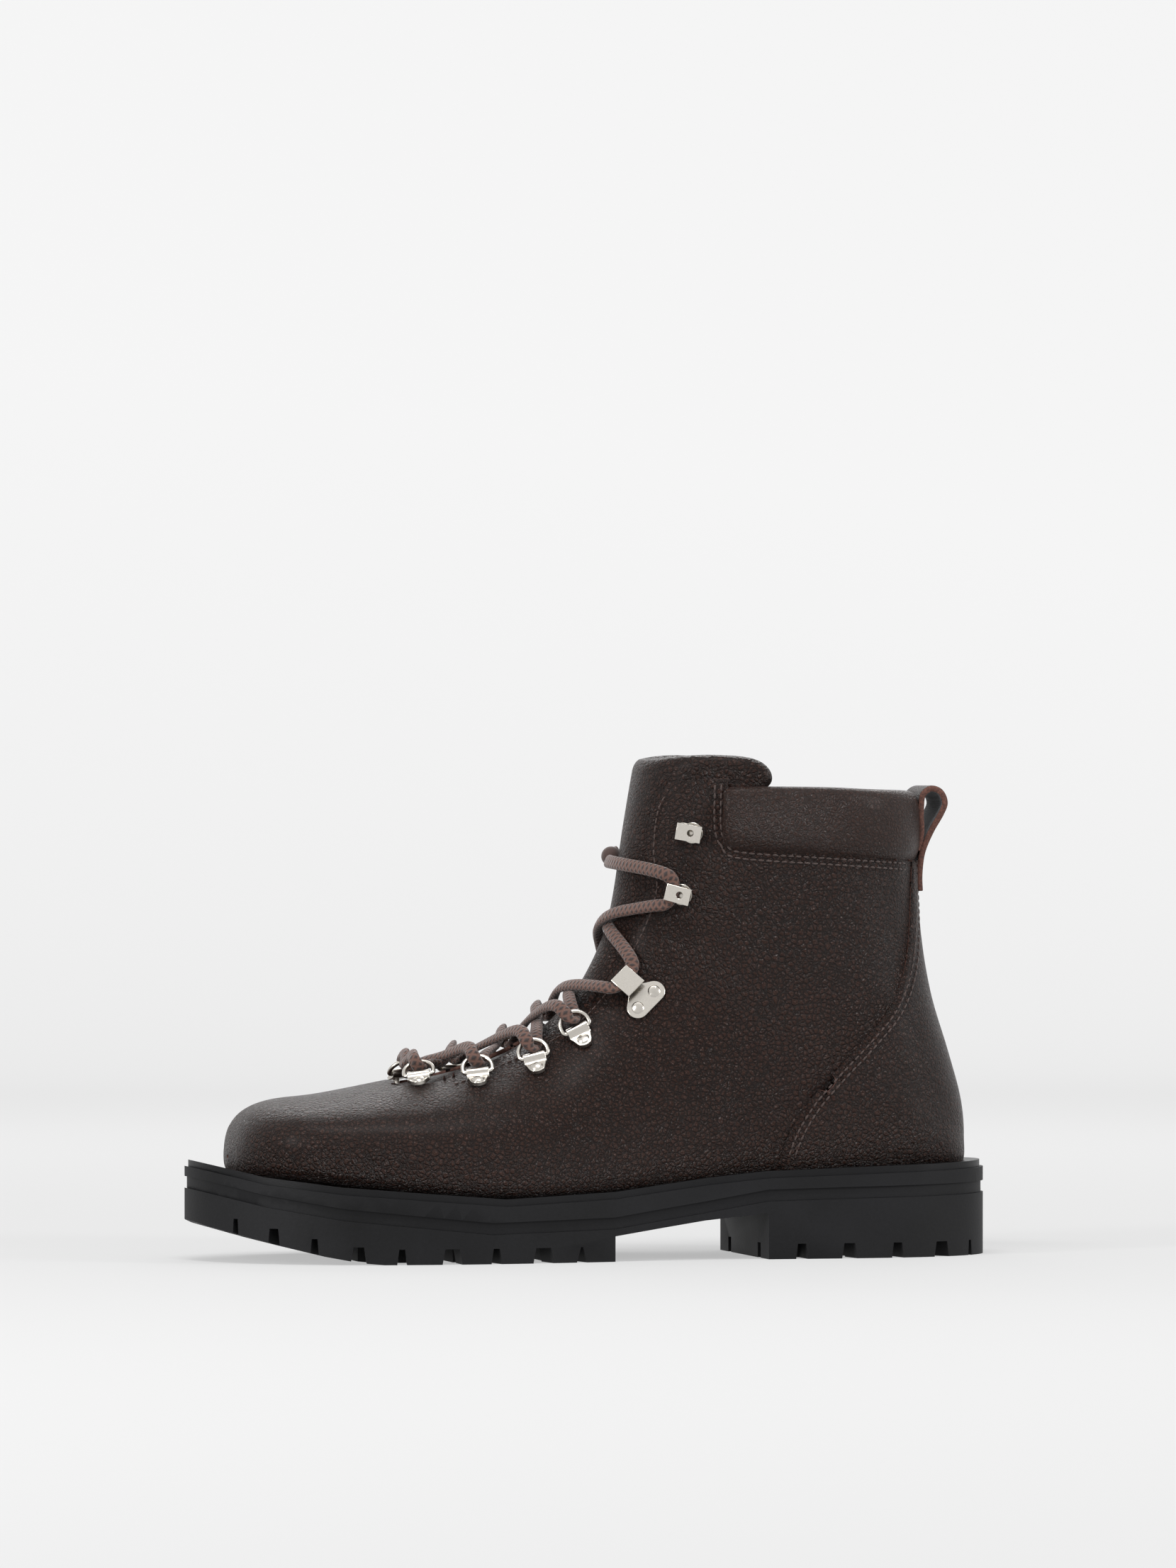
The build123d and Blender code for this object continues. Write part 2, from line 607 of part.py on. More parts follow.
save(pull_tab, "pull_tab")

patch_out = -back_panel_proud - layer_gap - 1.4
with BuildPart() as pull_tab_patch:
    add(layer(patch_out, -back_panel_proud - layer_gap))
    add(side_prism([(110, 137.5), (160, 137.5), (160, 150.2), (110, 150.2)], tab_width / 2),
        mode=Mode.INTERSECT)
save(pull_tab_patch, "pull_tab_patch")

# ---- lace hardware, drawn once at the origin: x along the edge, -y towards the throat ------
barrel_in = ring_wire + ring_clearance
barrel_out = barrel_in + sheet_metal
barrel_height = hardware_lift + barrel_out
wedge_end = clip_rivet_y - rivet_head - 0.1
with BuildPart() as clip_form:
    with BuildSketch(Plane.YZ) as clip_profile:
        with Locations((0, barrel_height)):
            Circle(barrel_out)
        with Locations((clip_length / 2, hardware_lift + sheet_metal)):
            Rectangle(clip_length, 2 * sheet_metal)
        with BuildLine():
            Polyline((0.5, barrel_height + barrel_out - 0.1), (wedge_end, hardware_lift + 2 * sheet_metal),
                     (wedge_end, hardware_lift), (0.5, hardware_lift), close=True)
        make_face()
        with Locations((0, barrel_height)):
            Circle(barrel_in, mode=Mode.SUBTRACT)
    extrude(amount=clip_width / 2, both=True)
    with BuildSketch(mode=Mode.PRIVATE) as clip_plan:
        with BuildSketch(mode=Mode.PRIVATE) as tongue_end:
            with Locations((0, clip_length - 3.2)):
                Circle(3.2)
            with Locations((0, 2.6)):
                Rectangle(clip_width - 0.6, 1.0)
            make_hull()
        with Locations((0, 0.6)):
            Rectangle(clip_width, 5.0)
        add(tongue_end.sketch)
    with BuildPart(mode=Mode.PRIVATE) as clip_column:
        add(clip_plan.sketch)
        extrude(amount=10)
    add(clip_column.part, mode=Mode.INTERSECT)
    with Locations((0, clip_rivet_y, 0)):
        Cylinder(rivet_shank + 0.1, 20, mode=Mode.SUBTRACT)

ring_half = ring_width / 2 - ring_wire
ring_corner = 1.4
ring_straight = 2.2        # height at which the ring's round end starts
ring_plane = Plane(origin=(0, 0, barrel_height), x_dir=(1, 0, 0),
                   z_dir=Vector(0, -1, 0).rotate(Axis.X, 90 - ring_tilt))
with BuildPart() as ring_form:
    with BuildLine(ring_plane) as ring_path:
        bar = Line((-(ring_half - ring_corner), 0), (ring_half - ring_corner, 0))
        CenterArc((ring_half - ring_corner, ring_corner), ring_corner, -90, 90)
        Line((ring_half, ring_corner), (ring_half, ring_straight))
        EllipticalCenterArc((0, ring_straight), ring_half, ring_reach - ring_wire - ring_straight,
                            start_angle=0, arc_size=180)
        Line((-ring_half, ring_straight), (-ring_half, ring_corner))
        CenterArc((-(ring_half - ring_corner), ring_corner), ring_corner, 180, 90)
    with BuildSketch(Plane(origin=(0, 0, barrel_height), z_dir=(1, 0, 0))):
        Circle(ring_wire)
    sweep(path=ring_path.wire())

lock_leaf = 8.7            # side of the lock hook's folded leaf
lock_reach = 13.7          # rivet line to the fold
lock_gap = 3.0             # room for the lace under the leaf
with BuildPart() as lock_form:
    with BuildSketch(Plane.XY.offset(hardware_lift)):
        with BuildSketch(mode=Mode.PRIVATE) as lobes:
            with Locations((-lock_rivet_x, 0), (lock_rivet_x, 0)):
                Circle(4.2)
            with Locations((0, -4)):
                Circle(3.4)
            make_hull()
        add(lobes.sketch)
        with Locations((0, -lock_reach / 2 - 1)):
            Rectangle(lock_leaf - 1.4, lock_reach - 2)
    extrude(amount=sheet_metal)
    with BuildSketch(Plane.YZ):
        with Locations((-lock_reach, hardware_lift + lock_gap / 2 + sheet_metal)):
            Rectangle(sheet_metal, lock_gap + 2 * sheet_metal)
        with Locations((-lock_reach + lock_leaf / 2, hardware_lift + lock_gap + 1.5 * sheet_metal)):
            Rectangle(lock_leaf + sheet_metal, sheet_metal)
    extrude(amount=lock_leaf / 2, both=True)
    with Locations((-lock_rivet_x, 0, 0), (lock_rivet_x, 0, 0)):
        Cylinder(rivet_shank + 0.1, 20, mode=Mode.SUBTRACT)

speed_leaf = 9.0
speed_width = 8.4
speed_gap = 3.2
with BuildPart() as speed_form:
    with BuildSketch(Plane.XY.offset(hardware_lift)):
        Circle(4.0)
        with Locations((0, -3.2)):
            Rectangle(speed_width - 2, 4.0)
    extrude(amount=sheet_metal)
    with BuildSketch(Plane.YZ):
        with Locations((-5.2, hardware_lift + speed_gap / 2 + sheet_metal)):
            Rectangle(sheet_metal, speed_gap + 2 * sheet_metal)
        with Locations((-5.2 + speed_leaf / 2, hardware_lift + speed_gap + 1.5 * sheet_metal)):
            Rectangle(speed_leaf + sheet_metal, sheet_metal)
    extrude(amount=speed_width / 2 - 1, both=True)
    Cylinder(rivet_shank + 0.1, 20, mode=Mode.SUBTRACT)

for side, side_name in sides:
    for number, frame in enumerate(clip_frames[side], 1):
        with BuildPart() as ring_clip:
            with Locations(frame):
                add(clip_form.part)
        save(ring_clip, f"ring_clip_{side_name}_{number}")
        with BuildPart() as d_ring:
            with Locations(frame):
                add(ring_form.part)
        save(d_ring, f"d_ring_{side_name}_{number}")
        pivot = frame.from_local_coords(Vector(0, 0, barrel_height))
        print("ring pivot", side_name, number, pivot, "axis", frame.x_dir * -1)
    with BuildPart() as lock_hook:
        with Locations(lock_frames[side]):
            add(lock_form.part)
    save(lock_hook, f"lock_hook_{side_name}")
    for level, frame in zip(("lower", "upper"), speed_frames[side]):
        with BuildPart() as speed_hook:
            with Locations(frame):
                add(speed_form.part)
        save(speed_hook, f"speed_hook_{side_name}_{level}")

with BuildPart() as rivets:
    for frame, x, y, stack in rivet_places:
        with BuildPart(mode=Mode.PRIVATE) as rivet:
            with BuildSketch(Plane.XZ):
                top = hardware_lift + stack + 0.02
                with BuildLine():
                    Polyline((0, -stiff_in + 0.1), (rivet_head, -stiff_in + 0.1),
                             (rivet_head, -stiff_out - 0.2), (rivet_shank, -stiff_out - 0.2),
                             (rivet_shank, top), (rivet_head, top), (rivet_head * 0.8, top + 0.5),
                             (0, top + 0.75), close=True)
                make_face()
            revolve(axis=Axis.Z)
        with Locations(frame * Location((x, y, 0))):
            add(rivet.part)
save(rivets, "rivets")
print("tab pivot", graded(*tab_foot))

# ---- lace: one round cord from the knot, down through hooks and rings, and back up ----------
lace_radius = 1.2
knot_centre = (13.2, 17.8, 152.3)
knot_radius = 3.8
lace_route = [
    (14.0, 17.5, 154.0), (22.0, 27.0, 147.0), (27.5, 28.5, 143.5), (25.5, 27.0, 134.0),
    (19.5, 24.5, 134.0), (5.0, 0.0, 128.0), (11.5, -21.3, 115.0), (12.5, -23.1, 109.5),
    (5.0, -23.8, 102.0), (-0.5, -22.5, 103.5), (-11.0, -2.0, 104.0), (-11.5, 12.5, 97.0),
    (-10.0, 17.5, 90.0), (-14.5, 21.0, 91.5), (-17.5, 15.0, 97.0), (-20.5, -3.0, 89.5),
    (-24.5, -18.5, 85.5), (-26.0, -24.0, 79.0), (-30.0, -27.0, 82.5), (-31.0, -20.0, 88.0),
    (-37.5, -2.5, 83.0), (-44.5, 13.0, 77.5), (-47.0, 19.5, 73.0), (-50.0, 21.5, 77.5),
    (-49.5, 13.5, 81.5), (-56.0, -0.5, 73.0), (-64.0, -5.5, 74.5), (-67.5, -13.0, 71.0),
    (-71.0, -13.5, 76.0), (-69.5, -5.0, 78.0), (-72.0, 1.0, 73.0), (-69.5, 6.0, 78.0),
    (-70.5, 14.5, 76.0), (-67.5, 14.0, 71.0), (-64.0, 6.5, 74.5), (-56.5, -0.5, 76.5),
    (-50.0, -16.5, 81.5), (-50.5, -24.5, 77.5), (-47.0, -22.5, 73.0), (-44.5, -16.0, 78.0),
    (-36.0, -2.5, 80.0), (-30.5, 14.0, 88.0), (-29.5, 21.0, 82.5), (-26.0, 18.0, 79.0),
    (-24.5, 12.0, 85.5), (-22.0, -3.0, 92.5), (-17.5, -20.5, 97.5), (-14.0, -26.5, 92.0),
    (-10.0, -22.5, 90.0), (-11.0, -17.5, 96.5), (-8.5, -2.0, 102.0), (-0.5, 20.5, 103.0),
    (5.0, 22.5, 101.5), (12.5, 23.0, 109.5), (11.0, 21.5, 115.0), (2.0, 0.0, 129.5),
    (19.5, -24.5, 134.0), (25.5, -27.0, 134.0), (27.5, -28.5, 143.5), (22.0, -27.0, 147.0),
    (7.0, 0.0, 150.5), (12.0, 17.5, 150.5),
]
bend_share = 0.45          # share of the shorter run that a bend may use
lace_points = [Vector(x * grade_x, y * grade_y, z * grade_z) for x, y, z in lace_route]
lace_bends = []
for before, point, after in zip(lace_points, lace_points[1:], lace_points[2:]):
    run_in = point - before
    run_out = after - point
    half_turn = run_in.get_angle(run_out) / 2 * pi / 180
    lace_bends.append(bend_share * min(run_in.length, run_out.length) * cos(half_turn) / sin(half_turn))
print("lace bends, smallest first:", [round(r, 1) for r in sorted(lace_bends)])

with BuildPart() as lace_knot:
    with Locations((knot_centre[0] * grade_x, knot_centre[1] * grade_y, knot_centre[2] * grade_z)):
        Sphere(knot_radius)
save(lace_knot, "lace_knot")

with BuildPart() as lace:
    with BuildLine() as lace_line:
        FilletPolyline(*lace_points, radius=lace_bends)
    route = lace_line.wire()
    with BuildSketch(Plane(origin=route @ 0, z_dir=route % 0)):
        Circle(lace_radius)
    sweep(path=route)
    print("lace length", route.length, "volume", lace.part.volume, pi * lace_radius ** 2 * route.length)
    add(lace_knot.part, mode=Mode.SUBTRACT)
save(lace, "lace")
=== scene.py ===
import json
from math import radians, sin, cos, pi
import bpy
import bmesh
import numpy as np
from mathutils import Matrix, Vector


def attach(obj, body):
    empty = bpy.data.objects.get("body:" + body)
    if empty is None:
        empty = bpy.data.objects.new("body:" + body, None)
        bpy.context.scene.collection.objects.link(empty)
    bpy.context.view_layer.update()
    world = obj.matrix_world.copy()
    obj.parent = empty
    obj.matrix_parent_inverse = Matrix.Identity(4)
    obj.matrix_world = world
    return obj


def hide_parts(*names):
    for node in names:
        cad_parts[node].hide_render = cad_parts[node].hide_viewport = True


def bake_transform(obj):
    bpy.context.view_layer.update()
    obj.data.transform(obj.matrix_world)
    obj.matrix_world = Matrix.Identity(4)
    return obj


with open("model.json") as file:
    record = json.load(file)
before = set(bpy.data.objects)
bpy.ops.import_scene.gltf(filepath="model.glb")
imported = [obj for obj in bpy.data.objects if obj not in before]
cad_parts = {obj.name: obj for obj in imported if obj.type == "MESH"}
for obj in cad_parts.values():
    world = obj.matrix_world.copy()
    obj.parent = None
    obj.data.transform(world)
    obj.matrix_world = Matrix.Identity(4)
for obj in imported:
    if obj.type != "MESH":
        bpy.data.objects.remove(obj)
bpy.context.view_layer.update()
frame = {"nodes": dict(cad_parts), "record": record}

MM = 0.001

# ---- camera: a long lens at sole height, a little to the toe side of the boot's outer side ----
CAMERA_TURN = radians(-13.0)
CAMERA_FAR = 3.7
CAMERA_HEIGHT = 0.18
camera_data = bpy.data.cameras.new("camera")
camera_data.sensor_width = 36.0
camera_data.lens = 222.8
camera_data.clip_end = 50
camera = bpy.data.objects.new("camera", camera_data)
camera.location = (CAMERA_FAR * sin(CAMERA_TURN), -CAMERA_FAR * cos(CAMERA_TURN), CAMERA_HEIGHT)
camera.rotation_euler = (pi / 2, 0, CAMERA_TURN)
bpy.context.collection.objects.link(camera)
bpy.context.scene.camera = camera

# ---- the lace's route, in millimetres, from its knot down through the rings and back ---------
LACE_ROUTE = [
    (14.0, 17.5, 154.0), (22.0, 27.0, 147.0), (27.5, 28.5, 143.5), (25.5, 27.0, 134.0),
    (19.5, 24.5, 134.0), (5.0, 0.0, 128.0), (11.5, -21.5, 115.0), (12.5, -23.5, 109.5),
    (5.0, -24.5, 102.0), (-0.5, -22.5, 103.5), (-11.0, -2.0, 104.0), (-11.5, 12.5, 97.0),
    (-10.0, 17.5, 90.0), (-14.5, 21.0, 91.5), (-17.5, 15.0, 97.0), (-20.5, -3.0, 89.5),
    (-24.5, -18.5, 85.5), (-26.0, -24.0, 79.0), (-30.0, -27.0, 82.5), (-31.0, -20.0, 88.0),
    (-37.5, -2.5, 83.0), (-44.5, 13.0, 77.5), (-47.0, 19.5, 73.0), (-50.0, 21.5, 77.5),
    (-49.5, 13.5, 81.5), (-56.0, -0.5, 73.0), (-64.0, -5.5, 74.5), (-67.5, -13.0, 71.0),
    (-71.0, -13.5, 76.0), (-69.5, -5.0, 78.0), (-72.0, 1.0, 73.0), (-69.5, 6.0, 78.0),
    (-70.5, 14.5, 76.0), (-67.5, 14.0, 71.0), (-64.0, 6.5, 74.5), (-56.5, -0.5, 76.5),
    (-50.0, -16.5, 81.5), (-50.5, -24.5, 77.5), (-47.0, -22.5, 73.0), (-44.5, -16.0, 78.0),
    (-36.0, -2.5, 80.0), (-30.5, 14.0, 88.0), (-29.5, 21.0, 82.5), (-26.0, 18.0, 79.0),
    (-24.5, 12.0, 85.5), (-22.0, -3.0, 92.5), (-17.5, -20.5, 97.5), (-14.0, -26.5, 92.0),
    (-10.0, -22.5, 90.0), (-11.0, -17.5, 96.5), (-8.5, -2.0, 102.0), (-0.5, 20.5, 103.0),
    (5.0, 22.5, 101.5), (12.5, 23.0, 109.5), (11.0, 21.5, 115.0), (2.0, 0.0, 129.5),
    (19.5, -24.5, 134.0), (25.5, -27.0, 134.0), (27.5, -28.5, 143.5), (22.0, -27.0, 147.0),
    (7.0, 0.0, 150.5), (12.0, 17.5, 150.5),
]
LACE_WIDTH = 5.2
LACE_THICK = 2.7

# ---- the last: sections from the toe, over the instep and heel, to the top line --------------
# back x, back z, front x, front z, centre y, half width, belly share, sharpness low, high
STATIONS = np.array([
    (-137.6, 33.2, -137.6, 46.0, 6.0, 14.0, 0.45, 2.6, 2.3),
    (-135.4, 32.2, -135.4, 52.2, 5.6, 22.0, 0.42, 3.4, 2.4),
    (-130.0, 31.2, -130.0, 57.3, 5.0, 30.5, 0.40, 4.4, 2.4),
    (-120.0, 29.8, -120.5, 60.6, 4.3, 38.5, 0.38, 5.0, 2.4),
    (-103.0, 27.4, -104.0, 62.6, 3.2, 45.0, 0.37, 5.0, 2.3),
    (-82.0, 24.6, -84.0, 66.4, 1.8, 49.5, 0.36, 5.0, 2.15),
    (-58.0, 22.2, -62.5, 71.0, 0.0, 51.0, 0.34, 5.0, 1.95),
    (-33.0, 21.4, -44.0, 76.0, -2.0, 49.5, 0.33, 5.0, 1.8),
    (-6.0, 22.6, -28.2, 83.1, -3.0, 45.0, 0.33, 4.8, 1.75),
    (24.0, 25.2, -16.0, 92.8, -2.8, 40.5, 0.34, 4.6, 1.8),
    (58.0, 28.4, -6.8, 103.3, -1.6, 37.5, 0.36, 4.6, 1.85),
    (94.0, 30.2, -1.0, 112.6, -0.6, 36.5, 0.38, 4.4, 1.95),
    (126.0, 31.2, 3.0, 121.0, 0.0, 36.0, 0.40, 3.8, 2.05),
    (142.6, 34.0, 6.0, 129.4, 0.0, 36.0, 0.42, 3.0, 2.15),
    (145.2, 45.5, 7.8, 137.3, 0.0, 36.0, 0.42, 2.5, 2.2),
    (144.0, 60.0, 9.2, 145.2, 0.0, 35.6, 0.42, 2.4, 2.25),
    (139.0, 78.0, 10.4, 153.1, 0.0, 35.4, 0.44, 2.4, 2.3),
    (132.2, 100.0, 11.7, 162.0, 0.0, 35.6, 0.46, 2.4, 2.3),
    (128.0, 124.0, 13.3, 171.5, 0.0, 36.4, 0.47, 2.4, 2.3),
    (126.5, 150.0, 15.0, 181.0, 0.0, 37.4, 0.48, 2.4, 2.3),
    (126.0, 176.0, 16.8, 190.5, 0.0, 38.0, 0.50, 2.4, 2.3),
    (125.5, 200.0, 18.5, 200.0, 0.0, 38.0, 0.50, 2.4, 2.3),
])
LAST = len(STATIONS) - 1
TOE_STATIONS = 2.5

SOLE_TOP = [(-160, 36.8), (-152, 34.8), (-132, 29.8), (-105, 26.2), (-43, 21.4), (1, 23.6), (38, 28.4),
            (61, 30.6), (110, 32.2), (162, 33.6)]
THROAT = [(-77.5, 66.0), (-62.7, 67.8), (-43, 74.2), (-17.6, 86), (-1.5, 99), (11.3, 117.3), (19.3, 138),
          (18.6, 155), (20.4, 171), (25.6, 179.6), (34, 181.6), (46.3, 182)]
COLLAR = [(46.3, 182), (46.3, 164.4), (48.3, 158.6), (53, 156.2), (83, 154.2), (121, 151.8), (170, 149.6)]
COLLAR_TOP = [(40, 178.6), (53.0, 179.2), (84, 178.8), (112, 177.6), (170, 176.0)]
BACK = [(122.8, 152.0), (120.6, 126.4), (117.5, 110.3), (110.9, 96.1), (100.6, 84.1), (86.9, 69.9),
        (76.2, 57.9), (68.8, 45.9), (64.0, 31.0), (62.0, 20.0)]


def smooth_line(points, n=14):
    """Catmull-Rom curve through side view points, as an array."""
    p = np.array(points, float)
    q = np.vstack([2 * p[0] - p[1], p, 2 * p[-1] - p[-2]])
    out = []
    f = np.linspace(0, 1, n, endpoint=False)[:, None]
    for i in range(1, len(q) - 2):
        a, b, c, d = q[i - 1], q[i], q[i + 1], q[i + 2]
        out.append(0.5 * (2 * b + (c - a) * f + (2 * a - 5 * b + 4 * c - d) * f ** 2
                          + (3 * b - a - 3 * c + d) * f ** 3))
    out.append(p[-1:])
    return np.vstack(out)


def skin(t, a, inset):
    """Point on the last: t runs through the stations on a Catmull-Rom curve, a turns round the
    section, a superellipse flattened at the sole, and inset moves the section's outline inwards.
    Below t = 0 the toe section closes to a point along a quarter circle."""
    t, a, inset = np.broadcast_arrays(np.asarray(t, float), a, inset)
    closing = np.clip(-t, 0, 1)
    shrink = np.sqrt(1 - closing ** 2)
    t = np.maximum(t, 0)
    i = np.clip(np.floor(t).astype(int), 0, LAST - 1)
    f = (t - i)[..., None]
    p1, p2 = STATIONS[i], STATIONS[i + 1]
    p0, p3 = STATIONS[np.maximum(i - 1, 0)], STATIONS[np.minimum(i + 2, LAST)]
    s = 0.5 * (2 * p1 + (p2 - p0) * f + (2 * p0 - 5 * p1 + 4 * p2 - p3) * f ** 2
               + (3 * p1 - p0 - 3 * p2 + p3) * f ** 3)
    bx, bz, fx, fz, cy, half, belly, low, high = np.moveaxis(s, -1, 0)
    tall = np.hypot(fx - bx, fz - bz)
    c, sn = np.cos(a), np.sin(a)
    down = c > 0
    power = 2 / np.where(down, low, high)
    reach = shrink * np.maximum(np.where(down, belly, 1 - belly) * tall - inset, 0.3)
    up = belly * tall - np.where(down, 1, -1) * reach * np.abs(c) ** power
    y = cy - np.sign(sn) * shrink * np.maximum(half - inset, 0.3) * np.abs(sn) ** power
    x = bx + (fx - bx) * up / tall + inset * np.maximum(0, 1 - t / TOE_STATIONS) - 1.2 * (1 - shrink)
    return np.stack([x, y, bz + (fz - bz) * up / tall], -1)


def skin_normal(t, a):
    """Outward unit normal of the last's outer face, from differences."""
    e = 0.01
    n = np.cross(skin(t + e, a, 0) - skin(t - e, a, 0), skin(t, a + e, 0) - skin(t, a - e, 0))
    n /= np.linalg.norm(n, axis=-1, keepdims=True) + 1e-12
    out = skin(t, a, -1.0) - skin(t, a, 0)
    return n * np.where((n * out).sum(-1, keepdims=True) < 0, -1, 1)


def signed_distance(xz, outline):
    """Distance from side view points to a closed outline, negative inside."""
    a = outline
    b = np.roll(outline, -1, 0)
    best = np.full(len(xz), 1e9)
    inside = np.zeros(len(xz), bool)
    for p, q in zip(a, b):
        e = q - p
        h = np.clip(((xz - p) @ e) / (e @ e + 1e-12), 0, 1)
        best = np.minimum(best, np.hypot(*(xz - p - h[:, None] * e).T))
        crosses = (p[1] > xz[:, 1]) != (q[1] > xz[:, 1])
        at = p[0] + (xz[:, 1] - p[1]) / (q[1] - p[1] + 1e-12) * e[0]
        inside ^= crosses & (xz[:, 0] < at)
    return np.where(inside, -best, best)


def distance_at(points, outlines):
    """Smallest distance inside all outlines: the largest of the signed distances."""
    xz = points[:, [0, 2]]
    return np.max([s * signed_distance(xz, o) for o, s in outlines], 0)


def new_mesh(name, points, faces, materials, body="boot", uv=None):
    """Makes a mesh piece from millimetre points and rides it on a body."""
    mesh = bpy.data.meshes.new(name)
    mesh.from_pydata((np.asarray(points) * MM).tolist(), [], faces)
    mesh.polygons.foreach_set("use_smooth", np.ones(len(mesh.polygons), bool))
    if uv is not None:
        layer = mesh.uv_layers.new(name="UVMap")
        loops = np.empty(len(mesh.loops), np.int32)
        mesh.loops.foreach_get("vertex_index", loops)
        layer.data.foreach_set("uv", uv[loops].astype(np.float32).ravel())
    mesh.update()
    piece = bpy.data.objects.new(name, mesh)
    bpy.context.collection.objects.link(piece)
    for material in materials:
        mesh.materials.append(material)
    if body:
        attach(piece, body)
    return piece


def cut_skin(outlines, inset, t_range, cells):
    """A patch of the last's skin, cut clean along side view outlines: the grid's points near an
    outline slide along the skin onto it, then the cells outside are dropped."""
    rows, cols = cells
    t = np.repeat(np.linspace(*t_range, rows), cols)
    a = np.tile(np.linspace(-pi, pi, cols, endpoint=False), rows)
    for _ in range(3):
        p = skin(t, a, 0)
        f = distance_at(p, outlines)
        e = 1e-3
        pt = (skin(t + e, a, 0) - p) / e
        pa = (skin(t, a + e, 0) - p) / e
        g = [(distance_at(p + np.array(s) * 0.05, outlines) - f) / 0.05 for s in ((1, 0, 0), (0, 0, 1))]
        ft = g[0] * pt[:, 0] + g[1] * pt[:, 2]
        fa = g[0] * pa[:, 0] + g[1] * pa[:, 2]
        step_t = (t_range[1] - t_range[0]) / rows
        step_a = 2 * pi / cols
        slope = (ft * step_t) ** 2 + (fa * step_a) ** 2
        reach = np.sqrt(slope) + 1e-9
        near = (np.abs(f) < 0.62 * reach)
        move = np.where(near, -f / (slope + 1e-12), 0)
        t = t + move * ft * step_t ** 2
        a = a + move * fa * step_a ** 2
    t = np.clip(t, max(t_range[0], -1), LAST)
    p = skin(t, a, 0)
    f = distance_at(p, outlines)
    keep = f < 0.06
    r, c = np.meshgrid(np.arange(rows - 1), np.arange(cols), indexing="ij")
    quad = np.stack([r * cols + c, r * cols + (c + 1) % cols, (r + 1) * cols + (c + 1) % cols,
                     (r + 1) * cols + c], -1).reshape(-1, 4)
    ok = keep[quad]
    faces = quad[ok.all(1)].tolist()
    for k in range(4):
        three = ok[:, (k + 1) % 4] & ok[:, (k + 2) % 4] & ok[:, (k + 3) % 4] & ~ok[:, k]
        faces += quad[three][:, [(k + 1) % 4, (k + 2) % 4, (k + 3) % 4]].tolist()
    used = np.unique(np.concatenate([np.array(f_) for f_ in faces]))
    index = np.full(len(t), -1)
    index[used] = np.arange(len(used))
    faces = [[int(index[v]) for v in face] for face in faces]
    t, a, f = t[used], a[used], f[used]
    depth = inset(t, a, f) if callable(inset) else np.full(len(t), float(inset))
    return skin(t, a, depth), faces, t, a, f


def face_out(points, faces, t, a):
    """Turns every face so that its normal points out of the boot."""
    n = skin_normal(t, a)
    turned = []
    for face in faces:
        q = points[face[:3]]
        turned.append(face if np.dot(np.cross(q[1] - q[0], q[2] - q[0]), n[face[0]]) > 0 else face[::-1])
    return turned


# ---- materials -------------------------------------------------------------------------------
def srgb(code):
    """An sRGB hex colour as linear RGBA."""
    c = np.array([int(code[i:i + 2], 16) / 255 for i in (1, 3, 5)])
    lin = np.where(c <= 0.04045, c / 12.92, ((c + 0.055) / 1.055) ** 2.4)
    return (*lin.tolist(), 1.0)


def node(tree, kind, *sources, stops=(), **settings):
    """Adds a shader node. The kind may name its operation after a space, and its first output is
    then given back instead of the node. Sources are sockets or values in the inputs' order, or a
    dict of input names; settings are properties or named input values; stops are (place, hex)."""
    name, *operation = kind.split()
    made = tree.nodes.new("ShaderNode" + name)
    if operation:
        made.operation = operation[0]
    for key, value in settings.items():
        if hasattr(made, key):
            setattr(made, key, value)
        else:
            made.inputs[key.replace("_", " ")].default_value = value
    named = sources[0] if sources and isinstance(sources[0], dict) else dict(enumerate(sources))
    for key, source in named.items():
        if isinstance(source, (int, float, tuple)):
            made.inputs[key].default_value = source
        else:
            tree.links.new(source, made.inputs[key])
    if stops:
        elements = made.color_ramp.elements
        while len(elements) < len(stops):
            elements.new(0.5)
        for element, (place, code) in zip(elements, stops):
            element.position = place
            element.color = srgb(code)
    return made.outputs[0] if operation or stops else made


def start_material(name, rough, metallic=0.0, **sockets):
    """A new material with its tree, shader and an Object coordinate output."""
    material = bpy.data.materials.new(name)
    material.use_nodes = True
    tree = material.node_tree
    shader = tree.nodes["Principled BSDF"]
    shader.inputs["Roughness"].default_value = rough
    shader.inputs["Metallic"].default_value = metallic
    for key, value in sockets.items():
        shader.inputs[key.replace("_", " ")].default_value = value
    coords = tree.nodes.new("ShaderNodeTexCoord")
    return material, tree, shader, coords


